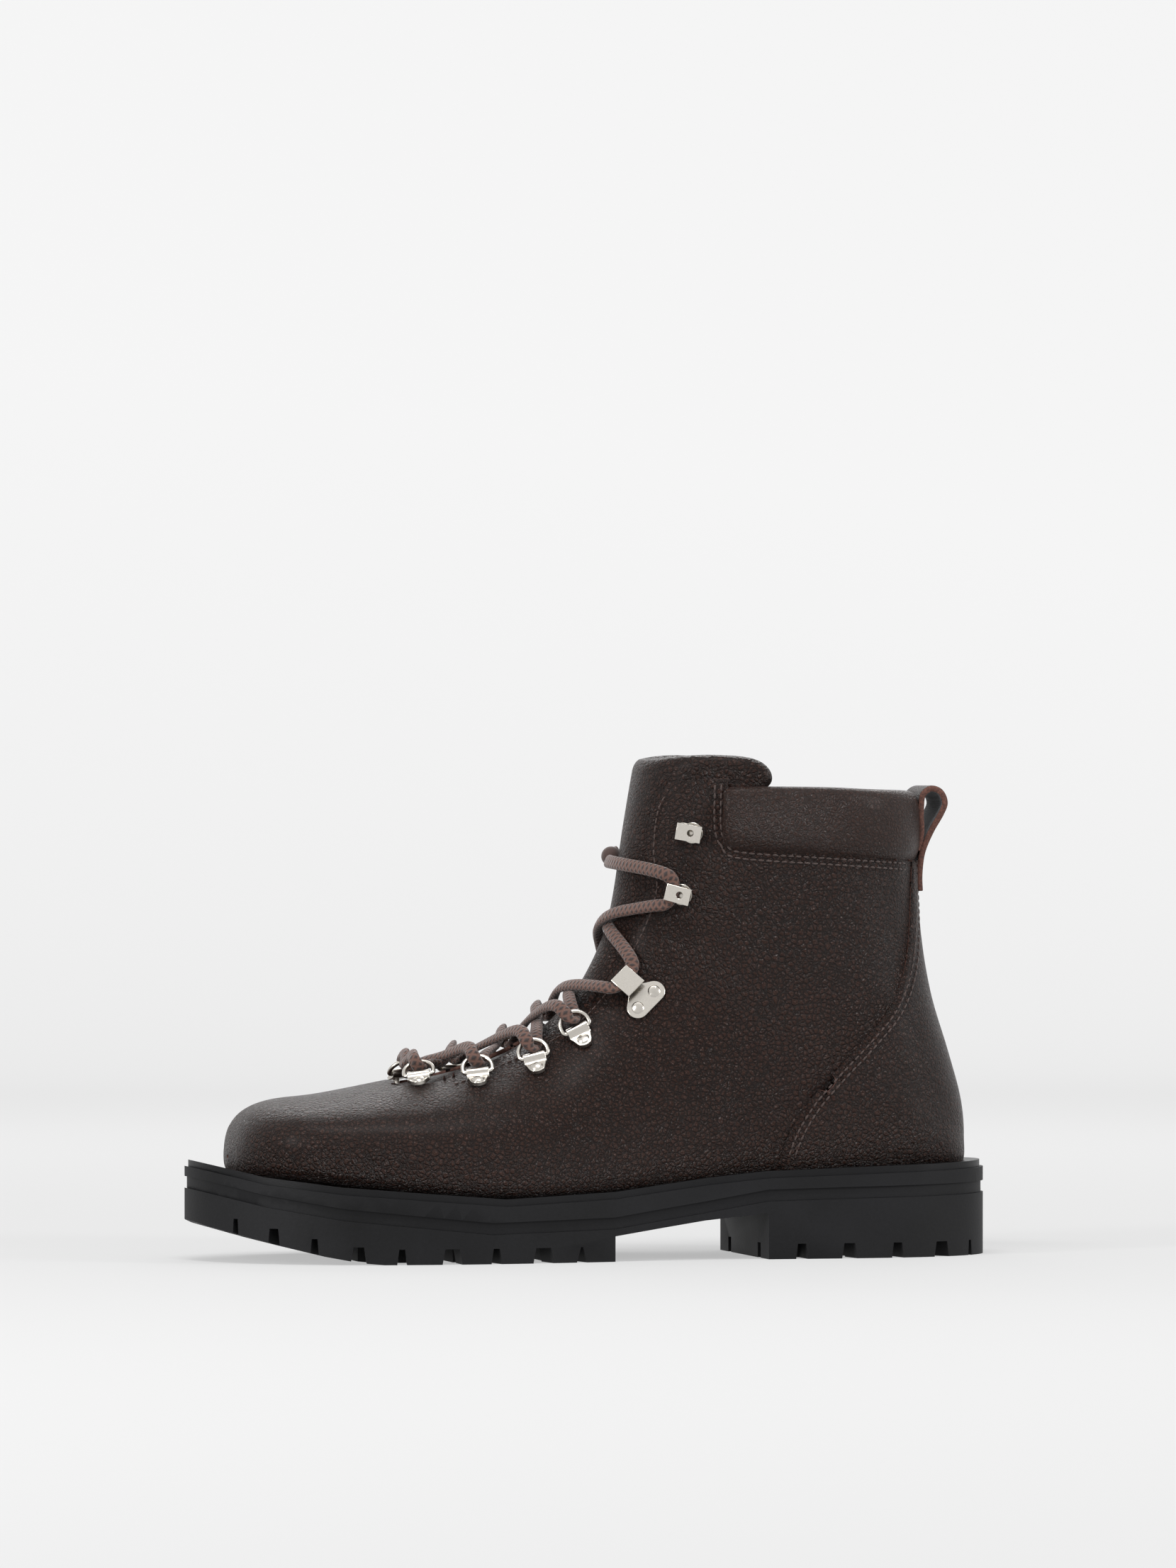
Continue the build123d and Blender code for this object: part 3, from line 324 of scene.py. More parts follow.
def tumbled_leather(name, dark, mid, light, grain_mm=1.9, rough=0.36, depth=1.0):
    """Full grain leather, tumbled: closed pebbles parted by fine creases, and a little waxy gloss overall.
    The base colour holds painted light: painted highlights on the pebbles' tops and painted shade in the
    creases, with slow changes of colour where the hide is denser."""
    material, tree, shader, coords = start_material(name, rough, Coat_Weight=0.04, Coat_Roughness=0.3)
    shader.inputs["Specular IOR Level"].default_value = 0.22
    warp = node(tree, "TexNoise", {"Vector": coords.outputs["Object"]}, Scale=190.0, Detail=2.0)
    shift = node(tree, "VectorMath MULTIPLY_ADD", warp.outputs["Color"], (0.0016,) * 3,
                 coords.outputs["Object"])
    scale = 1000.0 / grain_mm
    cell = node(tree, "TexVoronoi", {"Vector": shift}, feature="DISTANCE_TO_EDGE",
                Scale=scale)
    fine = node(tree, "TexVoronoi", {"Vector": shift}, feature="DISTANCE_TO_EDGE",
                Scale=scale * 2.1)
    broad = node(tree, "TexNoise", {"Vector": coords.outputs["Object"]}, Scale=22.0, Detail=3.0)
    pore = node(tree, "TexNoise", {"Vector": coords.outputs["Object"]}, Scale=2600.0, Detail=2.0)
    dome = node(tree, "Math MULTIPLY", cell.outputs["Distance"], 3.4)
    dome = node(tree, "Math POWER", node(tree, "Math MINIMUM", dome, 1.0), 0.65)
    small = node(tree, "Math MINIMUM", node(tree, "Math MULTIPLY", fine.outputs["Distance"], 6.0), 1.0)
    strength = node(tree, "Math ADD", node(tree, "Math MULTIPLY", broad.outputs["Fac"], 0.9), 0.1)
    height = node(tree, "Math ADD", node(tree, "Math MULTIPLY", dome, strength),
                  node(tree, "Math ADD", node(tree, "Math MULTIPLY", small, 0.28),
                       node(tree, "Math MULTIPLY", pore.outputs["Fac"], 0.12)))
    bump = node(tree, "Bump", {"Height": height}, Strength=depth, Distance=0.0016)
    tree.links.new(bump.outputs["Normal"], shader.inputs["Normal"])
    # Painted light in the base colour: the pebble dome lightens the pebbles' tops as a painted highlight and
    # darkens the creases as painted shade; the broad noise adds the hide's own slow colour changes.
    hide_tone_and_painted_relief_light = node(tree, "Math ADD", node(tree, "Math MULTIPLY", dome, 0.7),
                node(tree, "Math MULTIPLY", broad.outputs["Fac"], 0.4))
    colour = node(tree, "ValToRGB", hide_tone_and_painted_relief_light, stops=[(0.1, dark), (0.55, mid), (1.0, light)])
    tree.links.new(colour, shader.inputs["Base Color"])
    rub = node(tree, "Math ADD", node(tree, "Math MULTIPLY", broad.outputs["Fac"], 0.22), rough - 0.11)
    tree.links.new(rub, shader.inputs["Roughness"])
    return material


def cut_leather_edge():
    """The cut side of the leather: fibrous, unpainted, lighter and redder than its face."""
    material, tree, shader, coords = start_material("cut leather edge", 0.85)
    fibre = node(tree, "TexNoise", {"Vector": coords.outputs["Object"]}, Scale=1400.0, Detail=5.0)
    colour = node(tree, "ValToRGB", fibre.outputs["Fac"],
                  stops=[(0.3, "#331c15"), (0.55, "#4f2f25"), (0.8, "#6b4537")])
    tree.links.new(colour, shader.inputs["Base Color"])
    bump = node(tree, "Bump", {"Height": fibre.outputs["Fac"]}, Strength=0.6, Distance=0.0004)
    tree.links.new(bump.outputs["Normal"], shader.inputs["Normal"])
    return material


def moulded_rubber(name, dark, light, rough, grain=900.0):
    """Vulcanised rubber: near black, matt, with the mould's fine texture and faint dusty patches."""
    material, tree, shader, coords = start_material(name, rough)
    shader.inputs["Specular IOR Level"].default_value = 0.18
    fine = node(tree, "TexNoise", {"Vector": coords.outputs["Object"]}, Scale=grain, Detail=4.0)
    patch = node(tree, "TexNoise", {"Vector": coords.outputs["Object"]}, Scale=28.0, Detail=4.0)
    mixed = node(tree, "Math ADD", node(tree, "Math MULTIPLY", patch.outputs["Fac"], 0.75),
                 node(tree, "Math MULTIPLY", fine.outputs["Fac"], 0.25))
    colour = node(tree, "ValToRGB", mixed, stops=[(0.3, dark), (0.7, light)])
    tree.links.new(colour, shader.inputs["Base Color"])
    dusty = node(tree, "Math ADD", node(tree, "Math MULTIPLY", patch.outputs["Fac"], 0.2), rough - 0.1)
    tree.links.new(dusty, shader.inputs["Roughness"])
    bump = node(tree, "Bump", {"Height": fine.outputs["Fac"]}, Strength=0.25, Distance=0.0002)
    tree.links.new(bump.outputs["Normal"], shader.inputs["Normal"])
    return material


def satin_nickel():
    """Nickel plate over pressed steel, satin: soft reflections and faint brushing."""
    material, tree, shader, coords = start_material("satin nickel", 0.27, 1.0)
    long_way = node(tree, "Mapping", {"Vector": coords.outputs["Object"]}, Scale=(2500.0, 2500.0, 9000.0))
    brush = node(tree, "TexNoise", {"Vector": long_way.outputs["Vector"]}, Scale=1.0, Detail=4.0)
    tree.links.new(node(tree, "ValToRGB", brush.outputs["Fac"], stops=[(0.25, "#bdb8b0"), (0.75, "#cfcac2")]),
                   shader.inputs["Base Color"])
    tree.links.new(node(tree, "Math ADD", node(tree, "Math MULTIPLY", brush.outputs["Fac"], 0.08), 0.2),
                   shader.inputs["Roughness"])
    bump = node(tree, "Bump", {"Height": brush.outputs["Fac"]}, Strength=0.03, Distance=0.00005)
    tree.links.new(bump.outputs["Normal"], shader.inputs["Normal"])
    return material


def braid(name, dark, light, pitch_mm):
    """Flat braided polyester: two sets of yarns that cross in a herringbone, each with its own
    round top; the map's u runs along the cord in millimetres and v across it."""
    material, tree, shader, coords = start_material(name, 0.8, Sheen_Weight=0.25, Sheen_Roughness=0.5)
    split = node(tree, "SeparateXYZ", {"Vector": coords.outputs["UV"]})
    along = node(tree, "Math MULTIPLY", split.outputs["X"], 2 * pi / pitch_mm)
    across = node(tree, "Math MULTIPLY", split.outputs["Y"], 2 * pi * 4)
    one = node(tree, "Math SINE", node(tree, "Math ADD", along, across))
    two = node(tree, "Math SINE", node(tree, "Math SUBTRACT", along, across))
    yarn = node(tree, "Math MAXIMUM", one, two)
    fuzz = node(tree, "TexNoise", {"Vector": coords.outputs["Object"]}, Scale=3000.0, Detail=3.0)
    height = node(tree, "Math ADD", node(tree, "Math MULTIPLY", yarn, 0.5),
                  node(tree, "Math MULTIPLY", fuzz.outputs["Fac"], 0.4))
    colour = node(tree, "ValToRGB", height, stops=[(0.0, dark), (0.75, light)])
    tree.links.new(colour, shader.inputs["Base Color"])
    bump = node(tree, "Bump", {"Height": height}, Strength=0.7, Distance=0.0004)
    tree.links.new(bump.outputs["Normal"], shader.inputs["Normal"])
    return material


def woven_lining(name, dark, light, thread_mm):
    """Plain woven lining cloth; thread spacing drawn a little coarse so that it shows."""
    material, tree, shader, coords = start_material(name, 0.9, Sheen_Weight=0.2)
    split = node(tree, "SeparateXYZ", {"Vector": coords.outputs["Object"]})
    turns = 2 * pi * 1000 / thread_mm
    one_way = node(tree, "Math ADD", split.outputs["X"], split.outputs["Y"])
    other_way = node(tree, "Math ADD", split.outputs["Z"], split.outputs["X"])
    warp = node(tree, "Math SINE", node(tree, "Math MULTIPLY", one_way, turns))
    weft = node(tree, "Math SINE", node(tree, "Math MULTIPLY", other_way, turns))
    threads = node(tree, "Math MAXIMUM", warp, weft)
    cloth = node(tree, "Math ADD", node(tree, "Math MULTIPLY", threads, 0.5), 0.3)
    colour = node(tree, "ValToRGB", cloth, stops=[(0.1, dark), (0.8, light)])
    tree.links.new(colour, shader.inputs["Base Color"])
    bump = node(tree, "Bump", {"Height": cloth}, Strength=0.5, Distance=0.0003)
    tree.links.new(bump.outputs["Normal"], shader.inputs["Normal"])
    return material


# Both leathers have painted light in their base colour: painted highlights on the pebbles' tops and painted
# shade in the creases.
LEATHER = tumbled_leather("tumbled brown leather", "#070302", "#20120d", "#321d15")
COLLAR_LEATHER = tumbled_leather("soft collar leather", "#0d0604", "#20120d", "#2c1a13", 1.6, 0.34, 0.55)
CUT_EDGE = cut_leather_edge()
RUBBER = moulded_rubber("moulded black rubber", "#0b0b0c", "#171719", 0.6)
WELT_RUBBER = moulded_rubber("black welt", "#0a0a0b", "#141416", 0.42, 1600.0)
NICKEL = satin_nickel()
LACE_BRAID = braid("brown lace braid", "#1d0f0b", "#54372c", 2.2)
LOOP_LINING = woven_lining("black twill", "#0b0b0d", "#3a3b3f", 0.9)
BOOT_LINING = woven_lining("brown lining cloth", "#20150f", "#43311f", 1.1)
THREAD = braid("brown thread", "#1d110d", "#553a30", 0.8)


# ---- upper pieces ----------------------------------------------------------------------------
def outline(*runs):
    return np.vstack([np.asarray(run, float) for run in runs])


throat = smooth_line(THROAT)
collar = smooth_line(COLLAR[1:])
back = smooth_line(BACK)
sole_top = smooth_line(SOLE_TOP)
UP = 1
OUT = -1
above_sole = outline(sole_top + [0, 0.6], [(170, 300), (-170, 300)])
throat_gap = outline(throat, [(46.3, 300), (-77.5, 300)])
collar_space = outline(collar, [(170, 300), (46.3, 300)])
under_top = outline([(-170, -20), (170, -20), (170, 182), (-170, 182)])
rear = outline(back + [3.0, 0], [(200, 20), (200, 152.4)])
rear_panel = outline(back, [(200, 20), (200, 152.0)])


def wall(piece, thick, rim=1):
    """Gives a skin its leather thickness inwards, with the cut edge's own material on the rim."""
    solid = piece.modifiers.new("thickness", "SOLIDIFY")
    solid.thickness = thick * MM
    solid.offset = -1
    solid.material_offset_rim = rim
    solid.use_even_offset = False
    return piece


def creases(t, a):
    """Soft folds where the boot bends over the instep and ankle: a few slanted waves that fade out."""
    p = skin(t, a, 0)
    x, z = p[:, 0], p[:, 2]
    fade = np.exp(-(((x - 28) / 42) ** 2 + ((z - 92) / 34) ** 2))
    phase = 0.42 * (x * 0.62 + z * 0.55) + 1.7 * np.sin(x * 0.07 + z * 0.05)
    side = np.sin(z * 0.11 + x * 0.03)
    return 0.55 * fade * (np.sin(phase) * (0.6 + 0.4 * side))


def leather_piece(name, outlines, lift, cells, materials, t_range=(-0.995, 19.8), thick=1.8):
    """One panel cut from the skin by its outlines and given its thickness."""
    points, faces, t, a, _ = cut_skin(outlines, lift, t_range, cells)
    faces = face_out(points, faces, t, a)
    return wall(new_mesh(name, points, faces, materials), thick)


CELLS = ((330, 300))
quarter = leather_piece("vamp_quarter_leather",
                        [(above_sole, UP), (throat_gap, OUT), (collar_space, OUT), (under_top, UP),
                         (rear, OUT)],
                        lambda t, a, f: -creases(t, a), CELLS, [LEATHER, CUT_EDGE])
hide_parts("vamp_quarter", "toe_puff", "facing_stay_lateral", "facing_stay_medial")
heel_leather = leather_piece("back_panel_leather",
                             [(above_sole, UP), (rear_panel, UP), (collar_space, OUT)],
                             lambda t, a, f: -1.25 * np.clip(-f / 2.0, 0, 1) ** 0.5 - 0.35,
                             CELLS, [LEATHER, CUT_EDGE])
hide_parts("back_panel", "heel_counter")


def pillow(name, outlines, outer, inner, round_mm, cells, materials, t_range):
    """A padded sheet: outer and inner skins that meet along the outline in a round edge."""
    def depth(sign):
        def at(t, a, f):
            s = np.clip(-f / round_mm, 0, 1)
            swell = np.sqrt(np.clip(1 - (1 - s) ** 2, 0, 1))
            middle = (outer + inner) / 2
            return middle - sign * (inner - outer) / 2 * swell
        return at
    p1, faces, t, a, f = cut_skin(outlines, depth(1), t_range, cells)
    p2 = skin(t, a, depth(-1)(t, a, f))
    faces = face_out(p1, faces, t, a)
    n = len(p1)
    both = faces + [[v + n for v in face[::-1]] for face in faces]
    piece = new_mesh(name, np.vstack([p1, p2]), both, materials)
    weld = piece.modifiers.new("weld", "WELD")
    weld.merge_threshold = 0.00025
    return piece


TONGUE_EDGE = [(-76.0, 50), (-62, 52), (-42, 58), (-14, 70), (7, 87), (22, 110), (32, 136), (38, 158),
               (48, 172), (60, 178), (63.5, 182.0), (61.0, 187.0), (53.6, 190.2), (39.5, 191.4), (28, 191.2),
               (18, 190.4)]
tongue_shape = outline(smooth_line(TONGUE_EDGE), [(-120, 190.4), (-120, 50)])
tongue = pillow("tongue_padded", [(tongue_shape, UP)], 2.5, 8.6, 5.0, CELLS, [LEATHER], (3.0, 20.95))
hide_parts("tongue_leather", "tongue_foam", "tongue_lining")


def collar_roll():
    """The padded collar: round the heel from facing to facing, its section a rounded pad that is
    tucked under the quarter's edge below, rolls over the top and comes down inside."""
    across = 200
    round_section = 44
    a = np.linspace(2.03, -2.03, across)
    t_grid = np.linspace(14, 20.9, 400)
    low, high = np.empty(across), np.empty(across)
    bottom = smooth_line([(40, 158.0)] + COLLAR[3:]) - [0, 3.0]
    top = smooth_line(COLLAR_TOP)
    for i, angle in enumerate(a):
        p = skin(t_grid, angle, 0)
        low[i] = np.interp(0, p[:, 2] - np.interp(p[:, 0], bottom[:, 0], bottom[:, 1]), t_grid)
        high[i] = np.interp(0, p[:, 2] - np.interp(p[:, 0], top[:, 0], top[:, 1]), t_grid)
    v = np.linspace(0, 2 * pi, round_section, endpoint=False)
    ends = np.clip(np.minimum(np.arange(across), np.arange(across)[::-1]) / (across * 0.03), 0, 1)
    swell = np.sqrt(1 - (1 - ends) ** 2) * 0.55 + 0.45
    power = 0.62
    depth = np.sign(np.cos(v)) * np.abs(np.cos(v)) ** power
    tall = np.sign(np.sin(v)) * np.abs(np.sin(v)) ** power
    middle, half = 2.6, 5.4
    tt = (low + high)[:, None] / 2 + (high - low)[:, None] / 2 * tall[None]
    inset = middle - half * depth[None] * swell[:, None]
    lower = np.clip(-tall[None], 0, 1) ** 3
    inset = inset + np.where(depth[None] > 0, 2.2 * lower, 0)
    points = skin(tt, a[:, None] * np.ones_like(tt), inset).reshape(-1, 3)
    faces = []
    m = round_section
    for i in range(across - 1):
        for j in range(m):
            k = (j + 1) % m
            faces.append([i * m + j, i * m + k, (i + 1) * m + k, (i + 1) * m + j])
    faces.append([j for j in range(m)][::-1])
    faces.append([(across - 1) * m + j for j in range(m)])
    piece = new_mesh("collar_padded", points, faces, [COLLAR_LEATHER])
    recalculate(piece)
    return piece


def recalculate(piece):
    """Turns all faces of a closed mesh outwards."""
    made = bmesh.new()
    made.from_mesh(piece.data)
    bmesh.ops.remove_doubles(made, verts=made.verts, dist=1e-6)
    bmesh.ops.recalc_face_normals(made, faces=made.faces)
    made.to_mesh(piece.data)
    made.free()


collar_piece = collar_roll()
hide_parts("collar", "collar_foam")

inner_shape = outline([(-170, -20), (170, -20), (170, 160), (-170, 160)])
lining_gap = outline(smooth_line([(-78.0, 51), (-61, 52.5), (-40, 58), (-11, 70.5), (10, 88), (25.5, 111),
                                  (35.5, 138), (36.8, 160), (43.0, 175)]),
                     [(43, 300), (-170, 300), (-170, 230), (-78, 230)])
lining = leather_piece("boot_lining", [(inner_shape, UP), (lining_gap, OUT)], 6.6, (110, 120), [BOOT_LINING],
                       (1.5, 20.0), 0.8)
lining.modifiers["thickness"].material_offset_rim = 0
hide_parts("lining", "insulation", "footbed")


# ---- stitching -------------------------------------------------------------------------------
def side_row(line, shift, side):
    """Points of a stitch row: a side view line moved sideways by shift, laid on the skin."""
    d = np.gradient(line, axis=0)
    n = np.stack([d[:, 1], -d[:, 0]], 1) / (np.linalg.norm(d, axis=1, keepdims=True) + 1e-9)
    goal = line + n * shift
    tg, ag = np.meshgrid(np.linspace(3, 20.9, 190), np.linspace(0.12, pi - 0.02, 90), indexing="ij")
    tg, ag = tg.ravel(), -side * ag.ravel()
    grid = skin(tg, ag, 0)[:, [0, 2]]
    pick = np.array([np.argmin(((grid - g) ** 2).sum(1)) for g in goal])
    t, a = tg[pick], ag[pick]
    for _ in range(8):
        p = skin(t, a, 0)
        e = 1e-3
        pt, pa = (skin(t + e, a, 0) - p) / e, (skin(t, a + e, 0) - p) / e
        det = pt[:, 0] * pa[:, 2] - pa[:, 0] * pt[:, 2] + 1e-9
        dx, dz = goal[:, 0] - p[:, 0], goal[:, 1] - p[:, 2]
        t = np.clip(t + np.clip((dx * pa[:, 2] - pa[:, 0] * dz) / det, -0.3, 0.3), 0, LAST)
        a = a + np.clip((pt[:, 0] * dz - dx * pt[:, 2]) / det, -0.1, 0.1)
    good = np.hypot(*(skin(t, a, 0)[:, [0, 2]] - goal).T) < 0.6
    return t[good], a[good]


def stitches(rows, pitch=3.0, length=2.3, radius=0.33):
    """Short thread beads along each row: each bead is an ellipsoid of a few faces, laid along the
    row and half sunk in the leather."""
    u, v = np.meshgrid(np.linspace(0, pi, 6), np.linspace(0, 2 * pi, 6, endpoint=False), indexing="ij")
    ball = np.stack([np.cos(u), np.sin(u) * np.cos(v), np.sin(u) * np.sin(v)], -1).reshape(-1, 3)
    quads = [[i * 6 + j, i * 6 + (j + 1) % 6, (i + 1) * 6 + (j + 1) % 6, (i + 1) * 6 + j]
             for i in range(5) for j in range(6)]
    points, faces = [], []
    for (t, a), lift in rows:
        p = skin(t, a, -lift)
        run = np.concatenate([[0], np.cumsum(np.linalg.norm(np.diff(p, axis=0), axis=1))])
        for s in np.arange(pitch / 2, run[-1], pitch):
            at = np.array([np.interp(s, run, p[:, k]) for k in range(3)])
            on = np.array([np.interp(s + 0.5, run, p[:, k]) for k in range(3)])
            ts, as_ = np.interp(s, run, t), np.interp(s, run, a)
            x = (on - at) / (np.linalg.norm(on - at) + 1e-9)
            n = skin_normal(ts, as_)
            y = np.cross(n, x)
            body = ball * [length / 2, radius, radius * 0.8]
            start = len(points) * len(ball)
            points.append(at + body[:, :1] * x + body[:, 1:2] * y + body[:, 2:] * n)
            faces += [[q + start for q in quad] for quad in quads]
    piece = new_mesh("stitching", np.vstack(points), faces, [THREAD])
    recalculate(piece)
    return piece


facing_line = throat[(throat[:, 0] > -60)]
top_front = facing_line[facing_line[:, 1] < 178]
rear_line = smooth_line([(46.3, 180), (46.3, 164.4), (48.3, 158.6), (53, 156.2), (83, 154.2), (119, 152.0)])
stitch_rows = []
for side in (-1, 1):
    stitch_rows.append((side_row(top_front, 2.2, side), 0.05))
    stitch_rows.append((side_row(rear_line, 2.3, side), 0.05))
    stitch_rows.append((side_row(rear_line, 4.6, side), 0.05))
    stitch_rows.append((side_row(back[back[:, 1] > 40], -2.2, side), 1.5))
    stitch_rows.append((side_row(back[back[:, 1] > 40], -4.4, side), 1.65))
stitching = stitches(stitch_rows)


# ---- lace ------------------------------------------------------------------------------------
def lace_line():
    """The lace's centre line, read from a NURBS spline through its route's points."""
    curve = bpy.data.curves.new("lace_line", "CURVE")
    curve.dimensions = "3D"
    curve.resolution_u = 14
    spline = curve.splines.new("NURBS")
    spline.points.add(len(LACE_ROUTE) - 1)
    for point, (x, y, z) in zip(spline.points, LACE_ROUTE):
        point.co = (x, y, z, 1)
    spline.order_u = 3
    spline.use_endpoint_u = True
    holder = bpy.data.objects.new("lace_line", curve)
    bpy.context.collection.objects.link(holder)
    mesh = bpy.data.meshes.new_from_object(holder)
    line = np.array([v.co for v in mesh.vertices])
    bpy.data.objects.remove(holder)
    return line


def flat_lace(line):
    """An oval section carried along the line, its wide way lying along the boot's surface and
    turning smoothly where the lace folds round a ring."""
    run = np.concatenate([[0], np.cumsum(np.linalg.norm(np.diff(line, axis=0), axis=1))])
    s = np.linspace(0, run[-1], int(run[-1] / 0.7))
    p = np.stack([np.interp(s, run, line[:, k]) for k in range(3)], 1)
    tangent = np.gradient(p, axis=0)
    tangent /= np.linalg.norm(tangent, axis=1, keepdims=True)
    axis = np.stack([np.interp(p[:, 2], [60, 90, 150], [-60, 0, 60]), 0 * s,
                     np.interp(p[:, 2], [60, 150], [35, 130])], 1)
    out = p - axis
    out /= np.linalg.norm(out, axis=1, keepdims=True)
    wide = np.cross(tangent, out)
    sure = np.linalg.norm(wide, axis=1)
    for i in range(1, len(wide)):
        if wide[i] @ wide[i - 1] < 0:
            wide[i] *= -1
        if sure[i] < 0.35:
            wide[i] = wide[i - 1]
    kernel = np.hanning(9) / np.hanning(9).sum()
    wide = np.stack([np.convolve(np.pad(wide[:, k], 4, mode="edge"), kernel, "valid") for k in range(3)], 1)
    wide -= (wide * tangent).sum(1, keepdims=True) * tangent
    wide /= np.linalg.norm(wide, axis=1, keepdims=True) + 1e-9
    high = np.cross(wide, tangent)
    ring = 14
    v = np.linspace(0, 2 * pi, ring, endpoint=False)
    oval = np.stack([np.sign(np.cos(v)) * np.abs(np.cos(v)) ** 0.8 * LACE_WIDTH / 2,
                     np.sin(v) * LACE_THICK / 2], 1)
    points = p[:, None] + oval[None, :, :1] * wide[:, None] + oval[None, :, 1:] * high[:, None]
    uv = np.stack(np.broadcast_arrays(s[:, None], (v / (2 * pi))[None]), -1).reshape(-1, 2)
    faces = [[i * ring + j, i * ring + (j + 1) % ring, (i + 1) * ring + (j + 1) % ring, (i + 1) * ring + j]
             for i in range(len(s) - 1) for j in range(ring)]
    faces += [list(range(ring))[::-1], [(len(s) - 1) * ring + j for j in range(ring)]]
    return new_mesh("lace_braid", points.reshape(-1, 3), faces, [LACE_BRAID], uv=uv)


lace = flat_lace(lace_line())
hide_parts("lace")


# ---- CAD pieces that keep their shape, with softened edges -----------------------------------
def softened(name, width_mm, material, angle=35.0):
    """A copy of a CAD node with its loose triangles joined and its sharp edges rounded."""
    source = frame["nodes"][name]
    mesh = source.data.copy()
    piece = bpy.data.objects.new(name + "_finished", mesh)
    bpy.context.collection.objects.link(piece)
    made = bmesh.new()
    made.from_mesh(mesh)
    bmesh.ops.remove_doubles(made, verts=made.verts, dist=2e-6)
    bmesh.ops.dissolve_limit(made, angle_limit=radians(1.0), verts=made.verts, edges=made.edges)
    made.to_mesh(mesh)
    made.free()
    mesh.materials.clear()
    mesh.materials.append(material)
    mesh.polygons.foreach_set("use_smooth", np.ones(len(mesh.polygons), bool))
    mesh.set_sharp_from_angle(angle=radians(angle))
    if width_mm:
        bevel = piece.modifiers.new("softened edges", "BEVEL")
        bevel.width = width_mm * MM
        bevel.segments = 2
        bevel.limit_method = "ANGLE"
        bevel.angle_limit = radians(angle)
        bevel.use_clamp_overlap = True
        bevel.harden_normals = False
    body = next(b for b, members in frame["record"]["behaviour"]["bodies"].items() if name in members)
    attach(piece, body)
    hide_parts(name)
    return piece


softened("outsole", 0.5, RUBBER)
softened("midsole", 0.5, RUBBER)
softened("welt", 0.6, WELT_RUBBER)
for name in sorted(frame["nodes"]):
    if name.startswith(("ring_clip", "lock_hook", "speed_hook")):
        softened(name, 0.22, NICKEL, 40)
    elif name.startswith("d_ring") or name == "rivets":
        softened(name, 0.0, NICKEL, 50)
softened("lace_knot", 0.0, LACE_BRAID)
for name in ("shank", "insole_board", "bottom_filler"):
    frame["nodes"][name].data.materials.clear()
    frame["nodes"][name].data.materials.append(CUT_EDGE if name != "shank" else NICKEL)


# ---- pull loop -------------------------------------------------------------------------------
def pull_loop():
    """One strap sewn down the heel, up, over in a drop shape and down again behind the collar:
    its path is a side view curve, its section a flat strap with rounded sides."""
    path = smooth_line([(129.6, 139.0), (129.4, 144.5), (129.9, 150.5), (131.0, 156.0), (133.6, 162.5),
                        (136.8, 168.5), (138.2, 173.0), (136.4, 177.0), (132.6, 178.2), (129.4, 175.6),
                        (128.9, 169.5), (129.6, 161.0), (128.4, 154.5)], 8)
    d = np.gradient(path, axis=0)
    d /= np.linalg.norm(d, axis=1, keepdims=True)
    n = np.stack([d[:, 1], -d[:, 0]], 1)
    half = 12.0
    y = np.array([-1, -0.97, -0.5, 0, 0.5, 0.97, 1, 0.97, 0.5, 0, -0.5, -0.97]) * half
    h = np.array([0, 1, 1, 1, 1, 1, 0, -1, -1, -1, -1, -1]) * 1.2
    crown = np.stack([path[:, None, 0] + n[:, None, 0] * h, np.broadcast_to(y, (len(path), len(y))),
                      path[:, None, 1] + n[:, None, 1] * h], -1)
    wrap = np.interp(path[:, 1], [152, 172], [1.9, 0.5])
    crown[:, :, 0] -= wrap[:, None] * (y / half) ** 2
    m = len(y)
    faces = [[i * m + j, i * m + (j + 1) % m, (i + 1) * m + (j + 1) % m, (i + 1) * m + j]
             for i in range(len(path) - 1) for j in range(m)]
    faces += [list(range(m))[::-1], [(len(path) - 1) * m + j for j in range(m)]]
    piece = new_mesh("pull_loop_strap", crown.reshape(-1, 3), faces,
                     [LEATHER, CUT_EDGE, LOOP_LINING], body=None)
    recalculate(piece)
    slots = np.zeros(len(piece.data.polygons), np.int32)
    normals = np.array([q.normal for q in piece.data.polygons])
    centres = np.array([q.center for q in piece.data.polygons]) / MM
    slots[np.abs(normals[:, 1]) > 0.3] = 1
    inward = (np.array([133.6, 170.5]) - centres[:, [0, 2]])
    inner = (normals[:, [0, 2]] * inward).sum(1) > 0
    slots[inner & (np.abs(normals[:, 1]) < 0.3) & (centres[:, 2] > 152)] = 2
    piece.data.polygons.foreach_set("material_index", slots)
    bevel = piece.modifiers.new("edges", "BEVEL")
    bevel.width = 0.0003
    bevel.segments = 2
    bevel.limit_method = "ANGLE"
    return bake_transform(piece)


strap = pull_loop()
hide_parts("pull_tab", "pull_tab_patch")

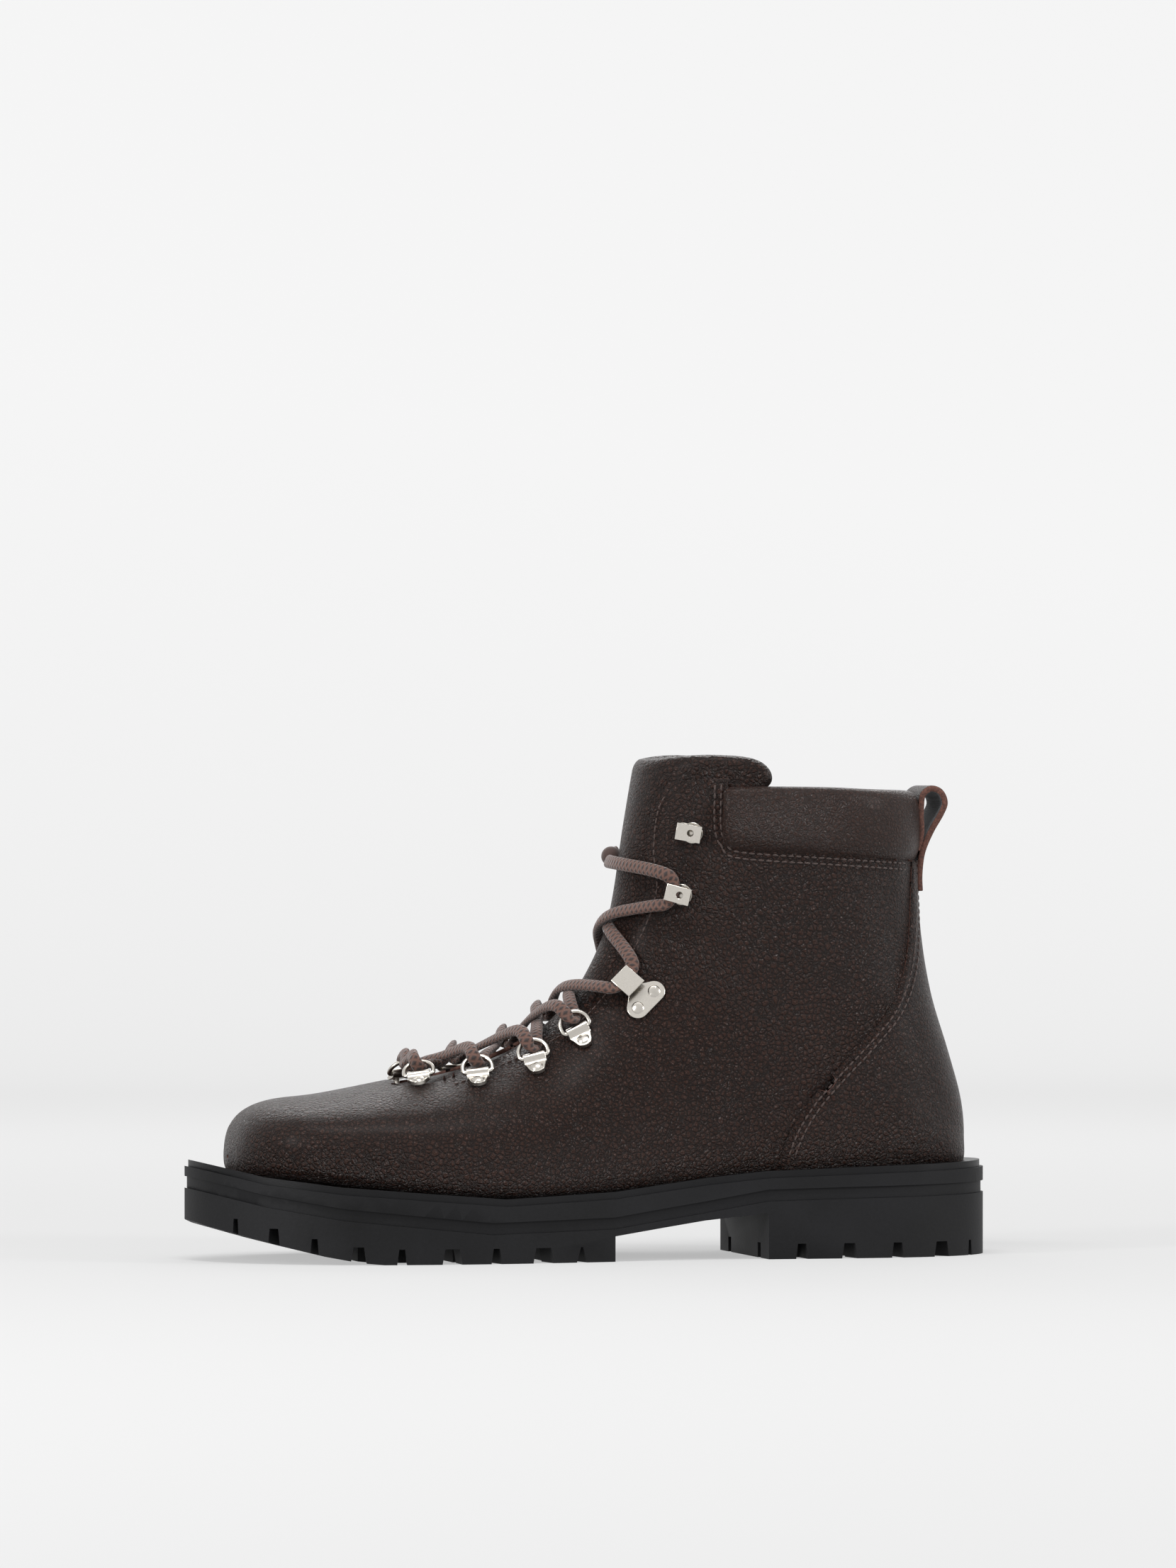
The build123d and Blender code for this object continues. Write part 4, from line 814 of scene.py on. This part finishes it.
# ---- floor and soft studio light -------------------------------------------------------------
FLOOR_GLOW = (0.46, 0.72)  # emission under the boot and far away
SWEEP_HALF, BEND_START, BEND_RADIUS, SWEEP_TOP = 9.0, 2.2, 1.6, (3.8, 7.0)  # metres
bend = np.linspace(0, pi / 2, 24)
profile = np.vstack([[(-SWEEP_HALF, 0.0)],
                     np.stack([BEND_START + BEND_RADIUS * np.sin(bend),
                               BEND_RADIUS - BEND_RADIUS * np.cos(bend)], 1),
                     [SWEEP_TOP]])
sweep_points = [(x, y, z) for y, z in profile for x in (-SWEEP_HALF, SWEEP_HALF)]
floor_mesh = bpy.data.meshes.new("floor")
floor_mesh.from_pydata(sweep_points, [],
                       [(2 * i, 2 * i + 1, 2 * i + 3, 2 * i + 2) for i in range(len(profile) - 1)])
floor_mesh.polygons.foreach_set("use_smooth", np.ones(len(floor_mesh.polygons), bool))
floor = bpy.data.objects.new("floor", floor_mesh)
bpy.context.collection.objects.link(floor)
paper, tree, shader, coords = start_material("white paper sweep", 0.95)
shader.inputs["Base Color"].default_value = srgb("#7a7a7a")
shader.inputs["Specular IOR Level"].default_value = 0.0
shader.inputs["Emission Color"].default_value = srgb("#ffffff")
away = tree.nodes.new("ShaderNodeVectorMath")
away.operation = "LENGTH"
tree.links.new(coords.outputs["Object"], away.inputs[0])
glow = node(tree, "MapRange", {"Value": away.outputs["Value"]}, From_Min=0.2, From_Max=3.4,
            To_Min=FLOOR_GLOW[0], To_Max=FLOOR_GLOW[1])
tree.links.new(glow.outputs["Result"], shader.inputs["Emission Strength"])
floor_mesh.materials.append(paper)

world = bpy.data.worlds.new("studio")
world.use_nodes = True
world.node_tree.nodes["Background"].inputs["Color"].default_value = srgb("#f6f6f6")
world.node_tree.nodes["Background"].inputs["Strength"].default_value = 0.93
bpy.context.scene.world = world


def soft_box(name, place, aim, size, power):
    light = bpy.data.lights.new(name, "AREA")
    light.shape = "RECTANGLE"
    light.size, light.size_y = size
    light.energy = power
    lamp = bpy.data.objects.new(name, light)
    lamp.location = place
    lamp.rotation_euler = (Vector(aim) - Vector(place)).to_track_quat("-Z", "Y").to_euler()
    bpy.context.collection.objects.link(lamp)


soft_box("top box", (-0.25, -0.55, 1.5), (0, 0, 0.1), (0.7, 0.3), 16)
soft_box("front box", (-1.7, -1.0, 0.75), (-0.05, 0, 0.08), (0.3, 0.8), 24)
soft_box("rear box", (1.5, -0.9, 0.8), (0.05, 0, 0.10), (0.25, 0.8), 15)
soft_box("far box", (0.3, 1.3, 1.0), (0.0, 0, 0.14), (1.2, 0.5), 8)

bpy.context.scene.view_settings.view_transform = "Standard"
